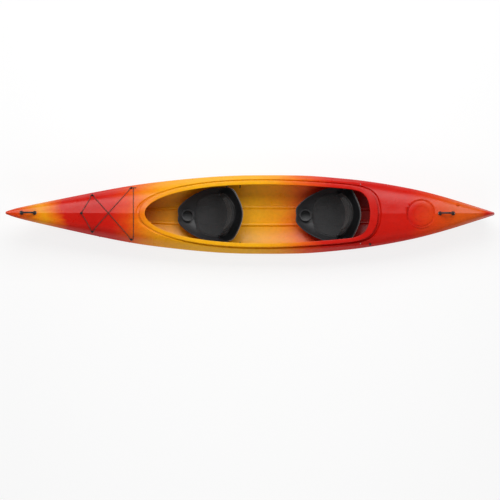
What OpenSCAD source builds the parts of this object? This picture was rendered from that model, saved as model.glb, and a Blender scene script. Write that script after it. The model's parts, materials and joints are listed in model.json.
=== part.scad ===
// Open-cockpit tandem kayak. Bow towards -X, starboard towards +Y, keel at z = 0.

/* [Hull] */
// Overall length, bow tip to stern tip
hull_len = 4420; // [4200:10:4700]
// Greatest beam, measured at the seam
beam = 712; // [690:2:750]
// Wall thickness of the moulding
wall = 6; // [4.5:0.5:7]
// Height of the seam between hull and deck at midships
seam_h = 200; // [190:2:215]
// Height of the seam at the bow tip
bow_seam_h = 424; // [400:2:450]
// Height of the seam at the stern
stern_seam_h = 300; // [285:1:320]
// Height of the keel at the very end of the bow
stem_foot_h = 400; // [380:2:400]
// Height of the keel at the transom
stern_foot_h = 72; // [60:1:85]
// How far the deck stands out past the transom
tail_step = 35; // [20:1:45]
// How far the transom leans in below the deck
transom_rake = 40; // [20:1:55]
// Depth of the two tracking channels in the bottom
channel_depth = 11; // [6:0.5:13]

/* [Deck] */
// Height of the deck ridge over the seam where it is tallest
crown_h = 150; // [135:1:160]
// Height of the bevel that runs along the deck edge
bevel_h = 50; // [40:1:54]
// Width of that bevel
bevel_w = 34; // [28:1:38]
// Centre of the round hatch blank, aft of midships
hatch_x = 1548; // [1520:1:1575]
// Radius of the level disc of the hatch blank
hatch_r = 114; // [95:1:118]
// Radius of the raised ring on the hatch blank
hatch_ring_r = 68; // [50:1:80]

/* [Cockpit] */
// Front end of the opening, forward of midships
open_front = 951; // [930:1:965]
// Rear end of the opening, aft of midships
open_rear = 1085; // [1070:1:1095]
// Half of the greatest width of the opening
open_half = 267; // [255:1:272]
// Height of the coaming lip over the seam at midships
rim_h = 91; // [86:1:100]
// Width of the lip along the sides
lip_side = 35; // [28:1:38]
// Width of the lip at the front
lip_front = 51; // [40:1:60]
// Width of the lip at the rear
lip_rear = 72; // [55:1:80]
// Thickness of the lip
lip_t = 8; // [6:0.5:9]
// Width of the open groove outside the lip along the sides
groove_side = 14; // [10:1:16]
// Width of that groove at the front and rear
groove_end = 32; // [24:1:36]
// Depth of that groove
groove_depth = 8; // [5:0.5:10]

/* [Seats] */
// Front edge of the front seat, forward of midships
front_seat_x = 640; // [630:1:650]
// Distance between the two seats
seat_pitch = 1066; // [1055:1:1075]
// Height of the lowest part of the seat pan
pan_floor = 42; // [40:0.5:48]
// Thickness of the seat pan
pan_t = 4; // [3:0.5:5]
// Width of the flange round the seat pan
flange_w = 9; // [6:0.5:10]
// Height of the front edge of the seat pan
pan_front_h = 112; // [105:1:120]
// Height of the rear wall of the seat pan
pan_rear_h = 246; // [225:1:250]
// Radius of the cup holder's bore
cup_r = 44; // [38:0.5:45]
// Thickness of the seat pad
pad_t = 16; // [10:1:18]
// Height of the top of the backrest
back_top = 411; // [395:1:420]
// Half of the backrest's greatest width
back_half = 188; // [170:1:190]
// Thickness of the backrest shell
back_t = 5; // [4:0.5:7]
// Thickness of the backrest pad
back_pad_t = 18; // [10:1:20]
// Width of the webbing behind the seat
web_w = 25; // [20:1:30]
// Thickness of the webbing
web_t = 2; // [1.5:0.1:2.5]

/* [Foot braces] */
// Distance between the two screws of a rail
rail_screws_gap = 268; // [240:1:290]
// Height of a rail's face
rail_h = 22; // [18:1:26]
// Depth of a rail
rail_d = 12; // [10:0.5:14]
// Width of a foot pedal across the boat
pedal_w = 58; // [50:1:62]
// Height of a foot pedal
pedal_h = 104; // [90:1:110]
// Radius of the rail screws
screw_r = 3; // [2.5:0.1:3.5]

/* [Handles and deck fittings] */
// Distance between the two end mounts of a carry handle
handle_span = 118; // [110:1:126]
// Height of a carry handle over its pins
handle_rise = 36; // [30:1:42]
// Width of the handle's grip
grip_w = 16; // [12:1:18]
// Thickness of the handle's grip
grip_t = 11; // [8:0.5:12]
// Radius of the round end mounts
mount_r = 18; // [16:0.5:20]
// Diameter of the bungee cord
cord_d = 6; // [5:0.5:7]
// Length of the skid plate under the stern
skid_len = 136; // [110:1:150]
// Thickness of the skid plate
skid_t = 6; // [4:0.5:8]
// Radius of the drain plug
plug_r = 12; // [11:0.5:13]

/* [Hidden] */

// Lines of the boat. Each row: station as a share of the length, half-breadth as a share of half
// the beam, rise of the keel, rise of the seam, height of the deck's crown, size of the bevel.
lines = [
  [-0.50, 0.030, 1.000, 1.000, 0.080, 0.10],
  [-0.48, 0.112, 0.770, 0.906, 0.173, 0.12],
  [-0.45, 0.202, 0.480, 0.763, 0.320, 0.15],
  [-0.40, 0.337, 0.250, 0.607, 0.447, 0.20],
  [-0.35, 0.469, 0.152, 0.451, 0.607, 0.28],
  [-0.30, 0.596, 0.102, 0.313, 0.760, 0.40],
  [-0.25, 0.711, 0.065, 0.205, 0.893, 0.55],
  [-0.20, 0.803, 0.042, 0.134, 0.993, 0.80],
  [-0.10, 0.935, 0.012, 0.040, 1.000, 1.00],
  [-0.05, 0.978, 0.000, 0.010, 0.970, 1.00],
  [0.00, 0.997, 0.000, 0.000, 0.933, 1.00],
  [0.05, 1.000, 0.000, 0.015, 0.890, 1.00],
  [0.10, 0.992, 0.042, 0.060, 0.833, 1.00],
  [0.20, 0.899, 0.208, 0.260, 0.700, 0.85],
  [0.25, 0.820, 0.333, 0.430, 0.620, 0.50],
  [0.30, 0.716, 0.458, 0.590, 0.593, 0.30],
  [0.35, 0.587, 0.597, 0.780, 0.493, 0.22],
  [0.40, 0.421, 0.736, 0.910, 0.467, 0.18],
  [0.45, 0.230, 0.847, 0.940, 0.480, 0.14],
  [0.48, 0.112, 0.944, 0.970, 0.467, 0.12],
  [0.50, 0.030, 1.000, 1.000, 0.440, 0.10]
];
// Height of the lip over the seam, as a share of rim_h, along the opening from front to rear.
rim_lines = [
  [0.000, 1.65], [0.025, 1.45], [0.070, 1.27], [0.160, 1.07], [0.250, 1.03], [0.340, 1.01],
  [0.467, 1.00], [0.600, 1.00], [0.780, 1.03], [0.870, 1.00], [0.913, 1.00], [0.958, 1.07],
  [1.000, 1.20]
];

// Smooth curve through a table's rows that never overshoots them.
function secant(t, c, i) = (t[i + 1][c] - t[i][c]) / (t[i + 1][0] - t[i][0]);
function knot_slope(t, c, i) =
  i == 0 ? secant(t, c, 0)
  : i == len(t) - 1 ? secant(t, c, len(t) - 2)
  : let(a = secant(t, c, i - 1), b = secant(t, c, i)) a * b <= 0 ? 0 : 2 * a * b / (a + b);
function row_of(t, f) = max([for (i = [0:len(t) - 2]) if (f >= t[i][0] || i == 0) i]);
function curve(t, c, f) =
  let(i = row_of(t, f), h = t[i + 1][0] - t[i][0], s = max(0, min(1, (f - t[i][0]) / h)))
  let(m0 = knot_slope(t, c, i) * h, m1 = knot_slope(t, c, i + 1) * h)
  let(s2 = s * s, s3 = s2 * s)
  (2 * s3 - 3 * s2 + 1) * t[i][c] + (s3 - 2 * s2 + s) * m0
  + (3 * s2 - 2 * s3) * t[i + 1][c] + (s3 - s2) * m1;
function lerp(a, b, s) = a + (b - a) * s;
function mirror_y(p) = [p[0], -p[1], p[2]];

// Half-breadth, keel, seam, ridge and bevel at a place x along the boat.
half_len = hull_len / 2;
function half_breadth(x) = beam / 2 * curve(lines, 1, x / hull_len);
function keel_z(x) = curve(lines, 2, x / hull_len) * (x < 0 ? stem_foot_h : stern_foot_h);
function seam_z(x) =
  seam_h + curve(lines, 3, x / hull_len) * ((x < 0 ? bow_seam_h : stern_seam_h) - seam_h);
function ridge_z(x) = seam_z(x) + crown_h * curve(lines, 4, x / hull_len);
function bevel_top_z(x) = seam_z(x) + bevel_h * curve(lines, 5, x / hull_len);
function bevel_top_y(x) =
  half_breadth(x) - min(bevel_w * curve(lines, 5, x / hull_len), 0.35 * half_breadth(x));
function keel_slope(x) = (keel_z(x + 4) - keel_z(x - 4)) / 8;

// Deck section: nearly straight from the ridge to a soft knee, then steep down to the bevel.
knee_k = 0.3;
knee_n = 5;
function knee(u) = 1 - knee_k * u - (1 - knee_k) * pow(u, knee_n);
// A point of the deck at share u of the way from ridge to bevel, t below the outer skin.
function deck_point(x, u, t) =
  let(zb = bevel_top_z(x) - 0.8 * t, zr = ridge_z(x) - 1.05 * t)
  [x, u * (bevel_top_y(x) - 0.6 * t), zb + (zr - zb) * knee(u)];
function deck_z(x, y) =
  let(yb = bevel_top_y(x), b = half_breadth(x), a = abs(y))
  a <= yb ? bevel_top_z(x) + (ridge_z(x) - bevel_top_z(x)) * knee(a / yb)
  : lerp(bevel_top_z(x), seam_z(x), (a - yb) / (b - yb));
function deck_normal(x, y) =
  let(zx = (deck_z(x + 3, y) - deck_z(x - 3, y)) / 6, zy = (deck_z(x, y + 3) - deck_z(x, y - 3)) / 6)
  [-zx, -zy, 1] / norm([-zx, -zy, 1]);

// Hull section: a flat keel strip, two channels, round bilges and flared sides.
flat_angle = 4.6;
section_angles = [90, 79, 68, 58, 48, 38, 29, 20, 13, 8.9, 7.7, 6.6, 5.6, flat_angle, 0];
channel_share = [0, 0, 0, 0, 0, 0, 0, 0, 0, 0, 0.8, 1, 0.8, 0, 0];
side_pts = len(section_angles) - 1;
function fullness(x) = 1 - pow(abs(x) / half_len, 2.5);
function p_exp(x) = lerp(1.7, 2.9, fullness(x));
function q_exp(x) = lerp(1.5, 2.6, fullness(x));
function section_rise(x, a) =
  let(z0 = 1 - pow(cos(flat_angle), 2 / q_exp(x)), z = 1 - pow(max(0, cos(a)), 2 / q_exp(x)))
  max(0, (z - z0) / (1 - z0));
channel_run = 1350;
function channel_fade(x) = max(0, 1 - pow(abs(x) / channel_run, 4));
// Inner surfaces stop short of both tips.
bow_fill = 90;
stern_fill = 260;
function inner_x(x) = x - (x < 0 ? -bow_fill : stern_fill) * pow(abs(x) / half_len, 6);
function tail_ramp(x) = pow(max(0, min(1, (x - half_len + 250) / 250)), 2);
// Point i of the hull section at station x, t inside the outer skin.
function hull_point(x, i, t) =
  let(a = section_angles[i], b = half_breadth(x) - 1.02 * t)
  let(k = keel_z(x) + t * sqrt(1 + pow(keel_slope(x), 2)), s = seam_z(x))
  let(v = section_rise(x, a))
  let(shift = t > 0 || v >= 1 ? 0 : (tail_step + transom_rake * (1 - pow(v, 4))) * tail_ramp(x))
  [x - shift, b * pow(sin(a), 2 / p_exp(x)),
   k + (s - k) * v + channel_depth * channel_share[i] * channel_fade(x)];
// Half-breadth of the hull at height z, and height of its bottom at breadth y.
function hull_half(x, z, t) =
  let(v = (z - keel_z(x) - t) / (seam_z(x) - keel_z(x) - t))
  (half_breadth(x) - t) * pow(1 - pow(1 - v, q_exp(x)), 1 / p_exp(x));
function hull_floor(x, y) =
  let(k = keel_z(x) + wall, v = 1 - pow(1 - pow(abs(y) / (half_breadth(x) - wall), p_exp(x)), 1 / q_exp(x)))
  k + (seam_z(x) - k) * v;

// Stations along the seam, and the matching places along the cockpit opening.
n_fore = 16;
n_mid = 12;
n_aft = 16;
n_sta = n_fore + n_mid + n_aft;
fore_run = 150;
aft_run = 185;
fore_join = -open_front + fore_run;
aft_join = open_rear - aft_run;
function seam_x(k) =
  k <= n_fore ? -half_len + (fore_join + half_len) * pow(k / n_fore, 1.8)
  : k <= n_fore + n_mid ? lerp(fore_join, aft_join, (k - n_fore) / n_mid)
  : half_len - (half_len - aft_join) * pow((n_sta - k) / n_aft, 1.8);
function open_x(k) =
  k <= n_fore ? -open_front + (fore_join + 30 + open_front) * pow(k / n_fore, 2)
  : k <= n_fore + n_mid ? lerp(fore_join + 30, aft_join, (k - n_fore) / n_mid)
  : open_rear - (open_rear - aft_join) * pow((n_sta - k) / n_aft, 2);
// Half-width of the opening: a pointed round nose and a squared rear with round corners.
open_wide_x = 150;
rear_taper = 61;
function open_w(x) =
  x < open_wide_x
  ? open_half * sqrt(max(0, 1 - pow((open_wide_x - x) / (open_wide_x + open_front), 2.3)))
  : let(u = (x - open_wide_x) / (open_rear - open_wide_x))
    (open_half - rear_taper * pow(u, 1.6)) * sqrt(max(0, 1 - pow(u, 18)));
function open_pt(k) = k < 0 ? [open_x(-k), -open_w(open_x(-k))]
  : k > n_sta ? [open_x(2 * n_sta - k), -open_w(open_x(2 * n_sta - k))]
  : [open_x(k), open_w(open_x(k))];
function open_normal(k) =
  let(t = open_pt(k + 1) - open_pt(k - 1)) [-t[1], t[0]] / norm(t);
function around(n, side, front, rear) = side + ((n[0] < 0 ? front : rear) - side) * n[0] * n[0];
function rim_z(x) =
  seam_z(x) + rim_h * curve(rim_lines, 1, (x + open_front) / (open_front + open_rear));

// One closed section of the deck and coaming at ray k, from the seam over the lip and back.
seam_gap = 0.3;
outer_rings = [0, 0.08, 0.18, 0.3, 0.45, 0.62, 0.8, 1];
inner_rings = [1, 0.8, 0.55, 0.3, 0.12, 0];
// Rays near either tip turn towards the ridge early, so that the knee keeps its shape there.
function deck_ring(k, sx, f, t, groove) =
  let(u_groove = groove[1] / bevel_top_y(groove[0]), early = max(0, 1 - min(k, n_sta - k) / 7))
  let(u = k == 0 || k == n_sta ? 0 : lerp(1, u_groove, pow(f, lerp(1, 0.3, early))))
  deck_point(lerp(sx, groove[0], f), u, t);
function deck_section(k) =
  let(o = open_pt(k), n = open_normal(k), sx = seam_x(k), ix = inner_x(sx))
  let(lip = around(n, lip_side, lip_front, lip_rear))
  let(out = lip + around(n, groove_side, groove_end, groove_end))
  let(g = o + n * out, at_end = k == 0 || k == n_sta)
  let(gz = deck_z(g[0], g[1]) - around(n, groove_depth, groove_depth, 2 * groove_depth))
  let(rz = rim_z(o[0]))
  let(q = function(d, z) [o[0] + n[0] * d, at_end ? 0 : o[1] + n[1] * d, z])
  concat(
    [[sx, at_end ? 0 : half_breadth(sx), seam_z(sx) + seam_gap]],
    [for (f = outer_rings) deck_ring(k, sx, f, 0, [g[0], at_end ? 0 : g[1]])],
    [q(out - groove_depth, gz), q(wall + 2, gz), q(wall + 2, rz - lip_t), q(lip, rz - lip_t - 2),
     q(lip, rz - 3), q(lip - 4, rz), q(3, rz), q(0, rz - 3), q(0, gz - wall),
     q(out - groove_depth - wall, gz - wall)],
    [for (f = inner_rings) deck_ring(k, ix, f, wall, [g[0], at_end ? 0 : g[1]])],
    [[ix, at_end ? 0 : half_breadth(ix) - 1.02 * wall, seam_z(ix) + seam_gap]]
  );

// Faces between rows of points that close on themselves both ways.
function torus_faces(rows, cols) = [
  for (r = [0:rows - 1], c = [0:cols - 1])
    let(a = r * cols + c, b = r * cols + (c + 1) % cols)
    let(d = ((r + 1) % rows) * cols + c, e = ((r + 1) % rows) * cols + (c + 1) % cols)
    each [[a, e, b], [a, d, e]]
];
// Faces of a plate given as a front and a back grid of rows x cols points.
function plate_faces(rows, cols) =
  let(n = rows * cols)
  concat(
    [for (r = [0:rows - 2], c = [0:cols - 2])
      let(a = r * cols + c, b = a + 1, d = a + cols, e = d + 1)
      each [[a, e, b], [a, d, e], [n + a, n + b, n + e], [n + a, n + e, n + d]]],
    [for (c = [0:cols - 2])
      let(a = c, b = c + 1, d = (rows - 1) * cols + c, e = d + 1)
      each [[a, n + b, n + a], [a, b, n + b], [d, n + e, e], [d, n + d, n + e]]],
    [for (r = [0:rows - 2])
      let(a = r * cols, b = a + cols, d = a + cols - 1, e = b + cols - 1)
      each [[a, n + b, b], [a, n + a, n + b], [d, n + e, n + d], [d, e, n + e]]]
  );
function flat(rows) = [for (r = rows) each r];

// The hull shell. Its rows are the inner stations; each end is closed by a narrow ladder.
hull_cols = 2 * side_pts + 1;
hull_rows = n_sta - 1;
function hull_row(x, t) = concat(
  [for (i = [0:side_pts]) hull_point(x, i, t)],
  [for (i = [side_pts - 1:-1:0]) mirror_y(hull_point(x, i, t))]
);
// The last point of a section that lies above the flat keel strip.
bilge_i = side_pts - 2;
function skin_faces(first, flip) =
  let(at = function(r, c) first + r * hull_cols + c, m = hull_cols - 1)
  let(bow = first + hull_rows * hull_cols, stern = bow + 1, last = hull_rows - 1)
  let(f = concat(
    [for (r = [0:last - 1], c = [0:m - 1])
      each [[at(r, c), at(r, c + 1), at(r + 1, c + 1)], [at(r, c), at(r + 1, c + 1), at(r + 1, c)]]],
    [for (c = [0:bilge_i - 1])
      each [[at(0, c), at(0, m - c), at(0, c + 1)], [at(0, c + 1), at(0, m - c), at(0, m - c - 1)]]],
    [for (c = [0:bilge_i - 1])
      each [[at(last, c), at(last, c + 1), at(last, m - c)],
            [at(last, c + 1), at(last, m - c - 1), at(last, m - c)]]],
    [for (c = [bilge_i + 1:m - bilge_i - 1])
      each [[at(0, bilge_i), at(0, c + 1), at(0, c)], [at(last, bilge_i), at(last, c), at(last, c + 1)]]],
    [[at(0, 0), bow, at(0, m)], [at(last, 0), at(last, m), stern]]))
  flip ? [for (t = f) [t[0], t[2], t[1]]] : f;
function seam_loop(first) =
  let(m = hull_cols - 1, bow = first + hull_rows * hull_cols)
  concat([bow], [for (r = [0:hull_rows - 1]) first + r * hull_cols], [bow + 1],
         [for (r = [hull_rows - 1:-1:0]) first + r * hull_cols + m]);
module hull_shell() {
  outer = concat(flat([for (k = [1:n_sta - 1]) hull_row(seam_x(k), 0)]),
                 [[-half_len, 0, seam_z(-half_len)], [half_len, 0, seam_z(half_len)]]);
  bow_in = inner_x(-half_len);
  stern_in = inner_x(half_len);
  inner = concat(flat([for (k = [1:n_sta - 1]) hull_row(inner_x(seam_x(k)), wall)]),
                 [[bow_in, 0, seam_z(bow_in)], [stern_in, 0, seam_z(stern_in)]]);
  n = len(outer);
  a = seam_loop(0);
  b = seam_loop(n);
  rim = [for (i = [0:len(a) - 1]) let(j = (i + 1) % len(a))
    each [[a[i], a[j], b[i]], [a[j], b[j], b[i]]]];
  polyhedron(concat(outer, inner), concat(skin_faces(0, false), skin_faces(n, true), rim), convexity = 8);
}

// Faces of a tube given as rows of rings, closed by flat ends.
function tube_faces(rows, cols) = concat(
  [for (r = [0:rows - 2], c = [0:cols - 1])
    let(a = r * cols + c, b = r * cols + (c + 1) % cols, d = a + cols, e = b + cols)
    each [[a, b, e], [a, e, d]]],
  [for (c = [1:cols - 2]) [0, c + 1, c]],
  [for (c = [1:cols - 2]) let(n = (rows - 1) * cols) [n, n + c, n + c + 1]]
);
// Turns a piece's own Z axis to the direction n and moves it to p.
module seated(p, n) {
  translate(p) rotate([0, acos(n[2]), atan2(n[1], n[0])]) children();
}
// The same, with the piece's X axis kept near the world's X axis.
module seated_level(p, n) {
  x = [n[2], 0, -n[0]] / norm([n[2], 0, -n[0]]);
  y = cross(n, x);
  multmatrix([[x[0], y[0], n[0], p[0]], [x[1], y[1], n[1], p[1]], [x[2], y[2], n[2], p[2]]]) children();
}
module pan_head(r, h) {
  cylinder(r = r, h = h * 0.45, $fn = 32);
  translate([0, 0, h * 0.45]) cylinder(r1 = r, r2 = r * 0.6, h = h * 0.55, $fn = 32);
}

// A round piece from its middle out over the edge and back: faces between two poles.
function bowl_faces(rings, m) =
  let(at = function(r, c) 1 + r * m + c % m, end = 1 + rings * m)
  concat(
    [for (c = [0:m - 1]) [0, at(0, c), at(0, c + 1)]],
    [for (r = [0:rings - 2], c = [0:m - 1])
      each [[at(r, c), at(r + 1, c + 1), at(r, c + 1)], [at(r, c), at(r + 1, c), at(r + 1, c + 1)]]],
    [for (c = [0:m - 1]) [end, at(rings - 1, c + 1), at(rings - 1, c)]]
  );
// A closed loop from half an outline, with one smooth point added between each pair.
function closed_loop(half) =
  let(full = concat(half, [for (i = [len(half) - 2:-1:1]) [half[i][0], -half[i][1]]]), n = len(full))
  [for (i = [0:n - 1]) each
    [full[i], (9 * (full[i] + full[(i + 1) % n]) - full[(i + n - 1) % n] - full[(i + 2) % n]) / 16]];

// The hull, with holes for the rail screws.
module hull_body() {
  color("darkorange") difference() {
    hull_shell();
    for (r = [0, 1], side = [-1, 1]) at_rail(r, side)
      for (s = [0, 1]) translate([s * rail_span(r), -wall, 0]) rotate([-90, 0, 0])
        cylinder(r = screw_r + 0.2, h = 40, $fn = 32);
    skid_screw_holes(screw_r + 0.2);
  }
}

// The deck with its coaming, the round hatch blank and the holes for drain and seat bolts.
hatch_step = 6;
hatch_groove = 11;
hatch_top = ridge_z(hatch_x) - 7;
// The wall that joins the hatch blank's floor to the deck all round, up to the middle of the skin.
hatch_wall_pts = 48;
module hatch_wall(r) {
  ring = function(rad, low) [for (i = [0:hatch_wall_pts - 1])
    let(a = 360 * i / hatch_wall_pts, x = hatch_x + rad * cos(a), y = rad * sin(a))
    [x, y, low ? hatch_top - 2 * hatch_step : deck_z(x, y) - wall / 2]];
  rows = [ring(r - 1, true), ring(r + wall, true), ring(r + wall, false), ring(r - 1, false)];
  polyhedron(flat(rows), torus_faces(4, hatch_wall_pts), convexity = 4);
}
// The moulding is held as four solids that meet face to face: one round each end of the opening
// and one along each of its sides. Each is a run of sections, closed at its two cut ends.
fore_cut = 12;
aft_cut = n_sta - 12;
function deck_row(k) =
  k < 0 || k > n_sta ? [for (p = deck_section(k < 0 ? -k : 2 * n_sta - k)) mirror_y(p)] : deck_section(k);
// Triangles between the chains of points a and b, which run side by side at the shares fa and fb.
function strip_faces(a, b, fa, fb, i = 0, j = 0) =
  let(last_a = i == len(a) - 1, last_b = j == len(b) - 1)
  last_a && last_b ? []
  : last_b || (!last_a && fa[i + 1] <= fb[j + 1])
  ? concat([[a[i + 1], a[i], b[j]]], strip_faces(a, b, fa, fb, i + 1, j))
  : concat([[a[i], b[j], b[j + 1]]], strip_faces(a, b, fa, fb, i, j + 1));
// A cut end: a fan round the lip, the groove's floor, then a strip between the two skins.
cut_end_faces =
  let(m = len(outer_rings), n = len(inner_rings), floor_out = m + 1, lip_fold = m + 3)
  let(wall_foot = m + 9, floor_in = m + 10)
  concat(
    [for (c = [m + 4:m + 8]) [lip_fold, c, c + 1]],
    [[lip_fold, wall_foot, m + 2], [floor_out, m + 2, wall_foot], [floor_out, wall_foot, floor_in]],
    strip_faces([for (c = [floor_out:-1:0]) c], [for (c = [floor_in:floor_in + n + 1]) c],
      concat([-1], [for (c = [m - 1:-1:0]) 1 - outer_rings[c]], [2]),
      concat([-1], [for (c = [0:n - 1]) 1 - inner_rings[c]], [2])));
module deck_run(first, last) {
  rows = [for (k = [first:last]) deck_row(k)];
  cols = len(rows[0]);
  far = (len(rows) - 1) * cols;
  sides = [for (r = [0:len(rows) - 2], c = [0:cols - 1])
    let(a = r * cols + c, b = r * cols + (c + 1) % cols)
    each [[a, b + cols, b], [a, a + cols, b + cols]]];
  polyhedron(flat(rows),
    concat(sides, cut_end_faces, [for (f = cut_end_faces) [far + f[2], far + f[1], far + f[0]]]),
    convexity = 10);
}
module deck_holes() {
  for (i = [0, 1], side = [-1, 1]) coaming_bolt(i, side, 0.2, 30);
  seated(drain_at, drain_n) translate([0, 0, -30]) cylinder(r = plug_shank_r + 1, h = 60, $fn = 32);
  for (x = [bow_handle_x, stern_handle_x]) at_handle(x) handle_screws(0.2, 30);
  for (p = loop_places) on_deck(p, foot_lift) loop_hole(16);
  on_deck(side_loop_at, foot_lift) loop_hole(16);
  for (side = [-1, 1]) on_deck([rim_screw_x, side * rim_screw_y], foot_lift) loop_hole(16);
}
module bow_deck() {
  color("orangered") difference() {
    deck_run(-fore_cut, fore_cut);
    deck_holes();
  }
}
module starboard_side_deck() {
  color("orange") difference() {
    deck_run(fore_cut, aft_cut);
    deck_holes();
  }
}
module port_side_deck() {
  color("orange") difference() {
    deck_run(-aft_cut, -fore_cut);
    deck_holes();
  }
}
// The stern part carries the round hatch blank, sunk in its groove.
module stern_deck() {
  groove_r = hatch_r + hatch_groove;
  color("orangered") difference() {
    union() {
      difference() {
        union() {
          deck_run(aft_cut, 2 * n_sta - aft_cut);
          hatch_wall(groove_r);
          translate([hatch_x, 0, hatch_top - 2 * hatch_step])
            cylinder(r = groove_r, h = 1.5 * hatch_step, $fn = 96);
        }
        translate([hatch_x, 0, hatch_top - hatch_step]) cylinder(r = groove_r, h = 40, $fn = 96);
      }
      translate([hatch_x, 0, hatch_top - 1.5 * hatch_step])
        cylinder(r = hatch_r, h = 1.5 * hatch_step, $fn = 96);
      translate([hatch_x, 0, hatch_top - 1]) rotate_extrude($fn = 96)
        translate([hatch_ring_r - 4, 0]) square([8, 3]);
    }
    deck_holes();
  }
}

// Skid plate: a channel over the foot of the stern.
skid_angles = [20, 13, 8.9, flat_angle, 0];
function skid_ring(x) =
  let(q = function(a, out)
    let(b = half_breadth(x), k = keel_z(x), v = section_rise(x, a))
    let(shift = (tail_step + transom_rake * (1 - pow(v, 4))) * tail_ramp(x))
    [x - shift, b * pow(sin(a), 2 / p_exp(x)) + (a > 0 ? out : 0),
     k + (seam_z(x) - k) * v - (a < 15 ? out : 0.3 * out)])
  let(near = [for (a = skid_angles) q(a, 1.6)], far = [for (a = skid_angles) q(a, skid_t)])
  let(n = len(skid_angles))
  concat(far, [for (i = [n - 2:-1:0]) mirror_y(far[i])], [for (i = [0:n - 1]) mirror_y(near[i])],
         [for (i = [n - 2:-1:0]) near[i]]);
skid_fore_x = half_len - tail_step - transom_rake - skid_len;
module skid_plate() {
  ends = [for (j = [6, 5]) skid_ring(seam_x(n_sta - j))];
  share = (skid_fore_x - ends[0][0][0]) / (ends[1][0][0] - ends[0][0][0]);
  rows = concat([lerp(ends[0], ends[1], max(0, share))], [for (j = [5:-1:1]) skid_ring(seam_x(n_sta - j))]);
  color("black") difference() {
    polyhedron(flat(rows), tube_faces(len(rows), len(rows[0])), convexity = 6);
    skid_screw_holes(screw_r + 0.2);
  }
}
skid_screw_x = [skid_fore_x + 30, skid_fore_x + 84];
module skid_screw_holes(r) {
  for (x = skid_screw_x) translate([x, 0, keel_z(x) - 30]) rotate([0, 0, 25])
    cylinder(r = r, h = 45, $fn = 32);
}
module skid_plate_screws() {
  color("silver") for (x = skid_screw_x) translate([x, 0, keel_z(x) - skid_t - 0.6]) {
    rotate([180, 0, 0]) pan_head(screw_r + 2, 2.4);
    cylinder(r = screw_r, h = skid_t + wall + 3, $fn = 32);
  }
}

// Carry handles: a bent grip whose end eyes turn on pins between the ears of two round mounts.
bow_handle_in = 204;
stern_handle_in = 433;
bow_handle_x = -half_len + bow_handle_in;
stern_handle_x = half_len - stern_handle_in;
mount_h = 5;
pin_lift = 14;
pin_r = 3;
ear_gap = 13;
ear_t = 3.5;
ear_r = 7;
function handle_at(x, s) = [x + s * handle_span / 2, 0, ridge_z(x + s * handle_span / 2)];
function handle_tilt(x) = let(a = handle_at(x, -1), b = handle_at(x, 1)) -atan2(b[2] - a[2], handle_span);
module at_handle(x) {
  translate([x, 0, (handle_at(x, -1)[2] + handle_at(x, 1)[2]) / 2]) rotate([0, handle_tilt(x), 0]) children();
}
module handle() {
  arc_half = handle_span / 2;
  arc_r = (arc_half * arc_half + handle_rise * handle_rise) / (2 * handle_rise);
  sweep = 2 * asin(arc_half / arc_r);
  difference() {
    union() {
      translate([0, 0, pin_lift + handle_rise - arc_r]) rotate([90, 0, 0])
        rotate([0, 0, 90 - sweep / 2]) rotate_extrude(angle = sweep, $fn = 96)
          translate([arc_r - grip_t / 2, 0]) hull() for (y = [-1, 1])
            translate([grip_t / 2, y * (grip_w - grip_t) / 2]) circle(d = grip_t, $fn = 24);
      for (s = [-1, 1]) translate([s * arc_half, 0, pin_lift]) rotate([0, 90, 0])
        cylinder(r = ear_r, h = ear_gap - 1, center = true, $fn = 48);
    }
    for (s = [-1, 1]) translate([s * arc_half, 0, pin_lift]) {
      rotate([0, 90, 0]) cylinder(r = pin_r + 0.1, h = 60, center = true, $fn = 32);
      for (e = [-1, 1]) translate([e * (ear_gap / 2 + 24.5), 0, 0]) rotate([0, 90, 0])
        cylinder(r = ear_r + 1.2, h = 50, center = true, $fn = 48);
    }
  }
}
module handle_mounts(x) {
  difference() {
    for (s = [-1, 1]) translate([s * handle_span / 2, 0, 0]) {
      translate([0, 0, -6]) cylinder(r = mount_r, h = mount_h + 6, $fn = 64);
      for (e = [-1, 1]) translate([e * (ear_gap / 2 + ear_t / 2), 0, 0]) hull() {
        translate([-ear_t / 2, -ear_r, 0]) cube([ear_t, 2 * ear_r, 4]);
        translate([0, 0, pin_lift]) rotate([0, 90, 0])
          cylinder(r = ear_r, h = ear_t, center = true, $fn = 32);
      }
    }
    for (s = [-1, 1]) translate([s * handle_span / 2, 0, pin_lift]) rotate([0, 90, 0])
      cylinder(r = pin_r + 0.05, h = 30, center = true, $fn = 32);
    ridge_cut(x);
    handle_screws(0.2, 30);
  }
}
// What the deck's roof takes out of a round mount, a little above the true surface.
module ridge_cut(x) {
  z0 = ridge_z(x);
  fall = z0 - deck_z(x, 20);
  rotate([90, 0, 90]) linear_extrude(height = 2 * handle_span, center = true)
    polygon([[0, 0.4], [24, 0.4 - 1.2 * fall], [24, -60], [-24, -60], [-24, 0.4 - 1.2 * fall]]);
}
// The screws stand beside the ears, one fore and one aft of each pair.
handle_screw_off = 14;
module handle_screws(gap, depth) {
  for (s = [-1, 1], e = [-1, 1]) translate([s * handle_span / 2 + e * handle_screw_off, 0, mount_h]) {
    translate([0, 0, -depth]) cylinder(r = 2 + gap, h = depth + (gap > 0 ? 5 : 0), $fn = 24);
    if (gap == 0) translate([0, 0, 0.1]) cylinder(r = 3.2, h = 2, $fn = 24);
  }
}
module handle_pins() {
  for (s = [-1, 1]) translate([s * handle_span / 2, 0, pin_lift]) rotate([0, 90, 0])
    cylinder(r = pin_r, h = ear_gap + 2 * ear_t + 1, center = true, $fn = 32);
}
module bow_handle() { color("black") at_handle(bow_handle_x) handle(); }
module bow_handle_mounts() { color("black") at_handle(bow_handle_x) handle_mounts(bow_handle_x); }
module bow_handle_pins() { color("silver") at_handle(bow_handle_x) handle_pins(); }
module bow_handle_screws() { color("silver") at_handle(bow_handle_x) handle_screws(0, 17); }
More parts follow.
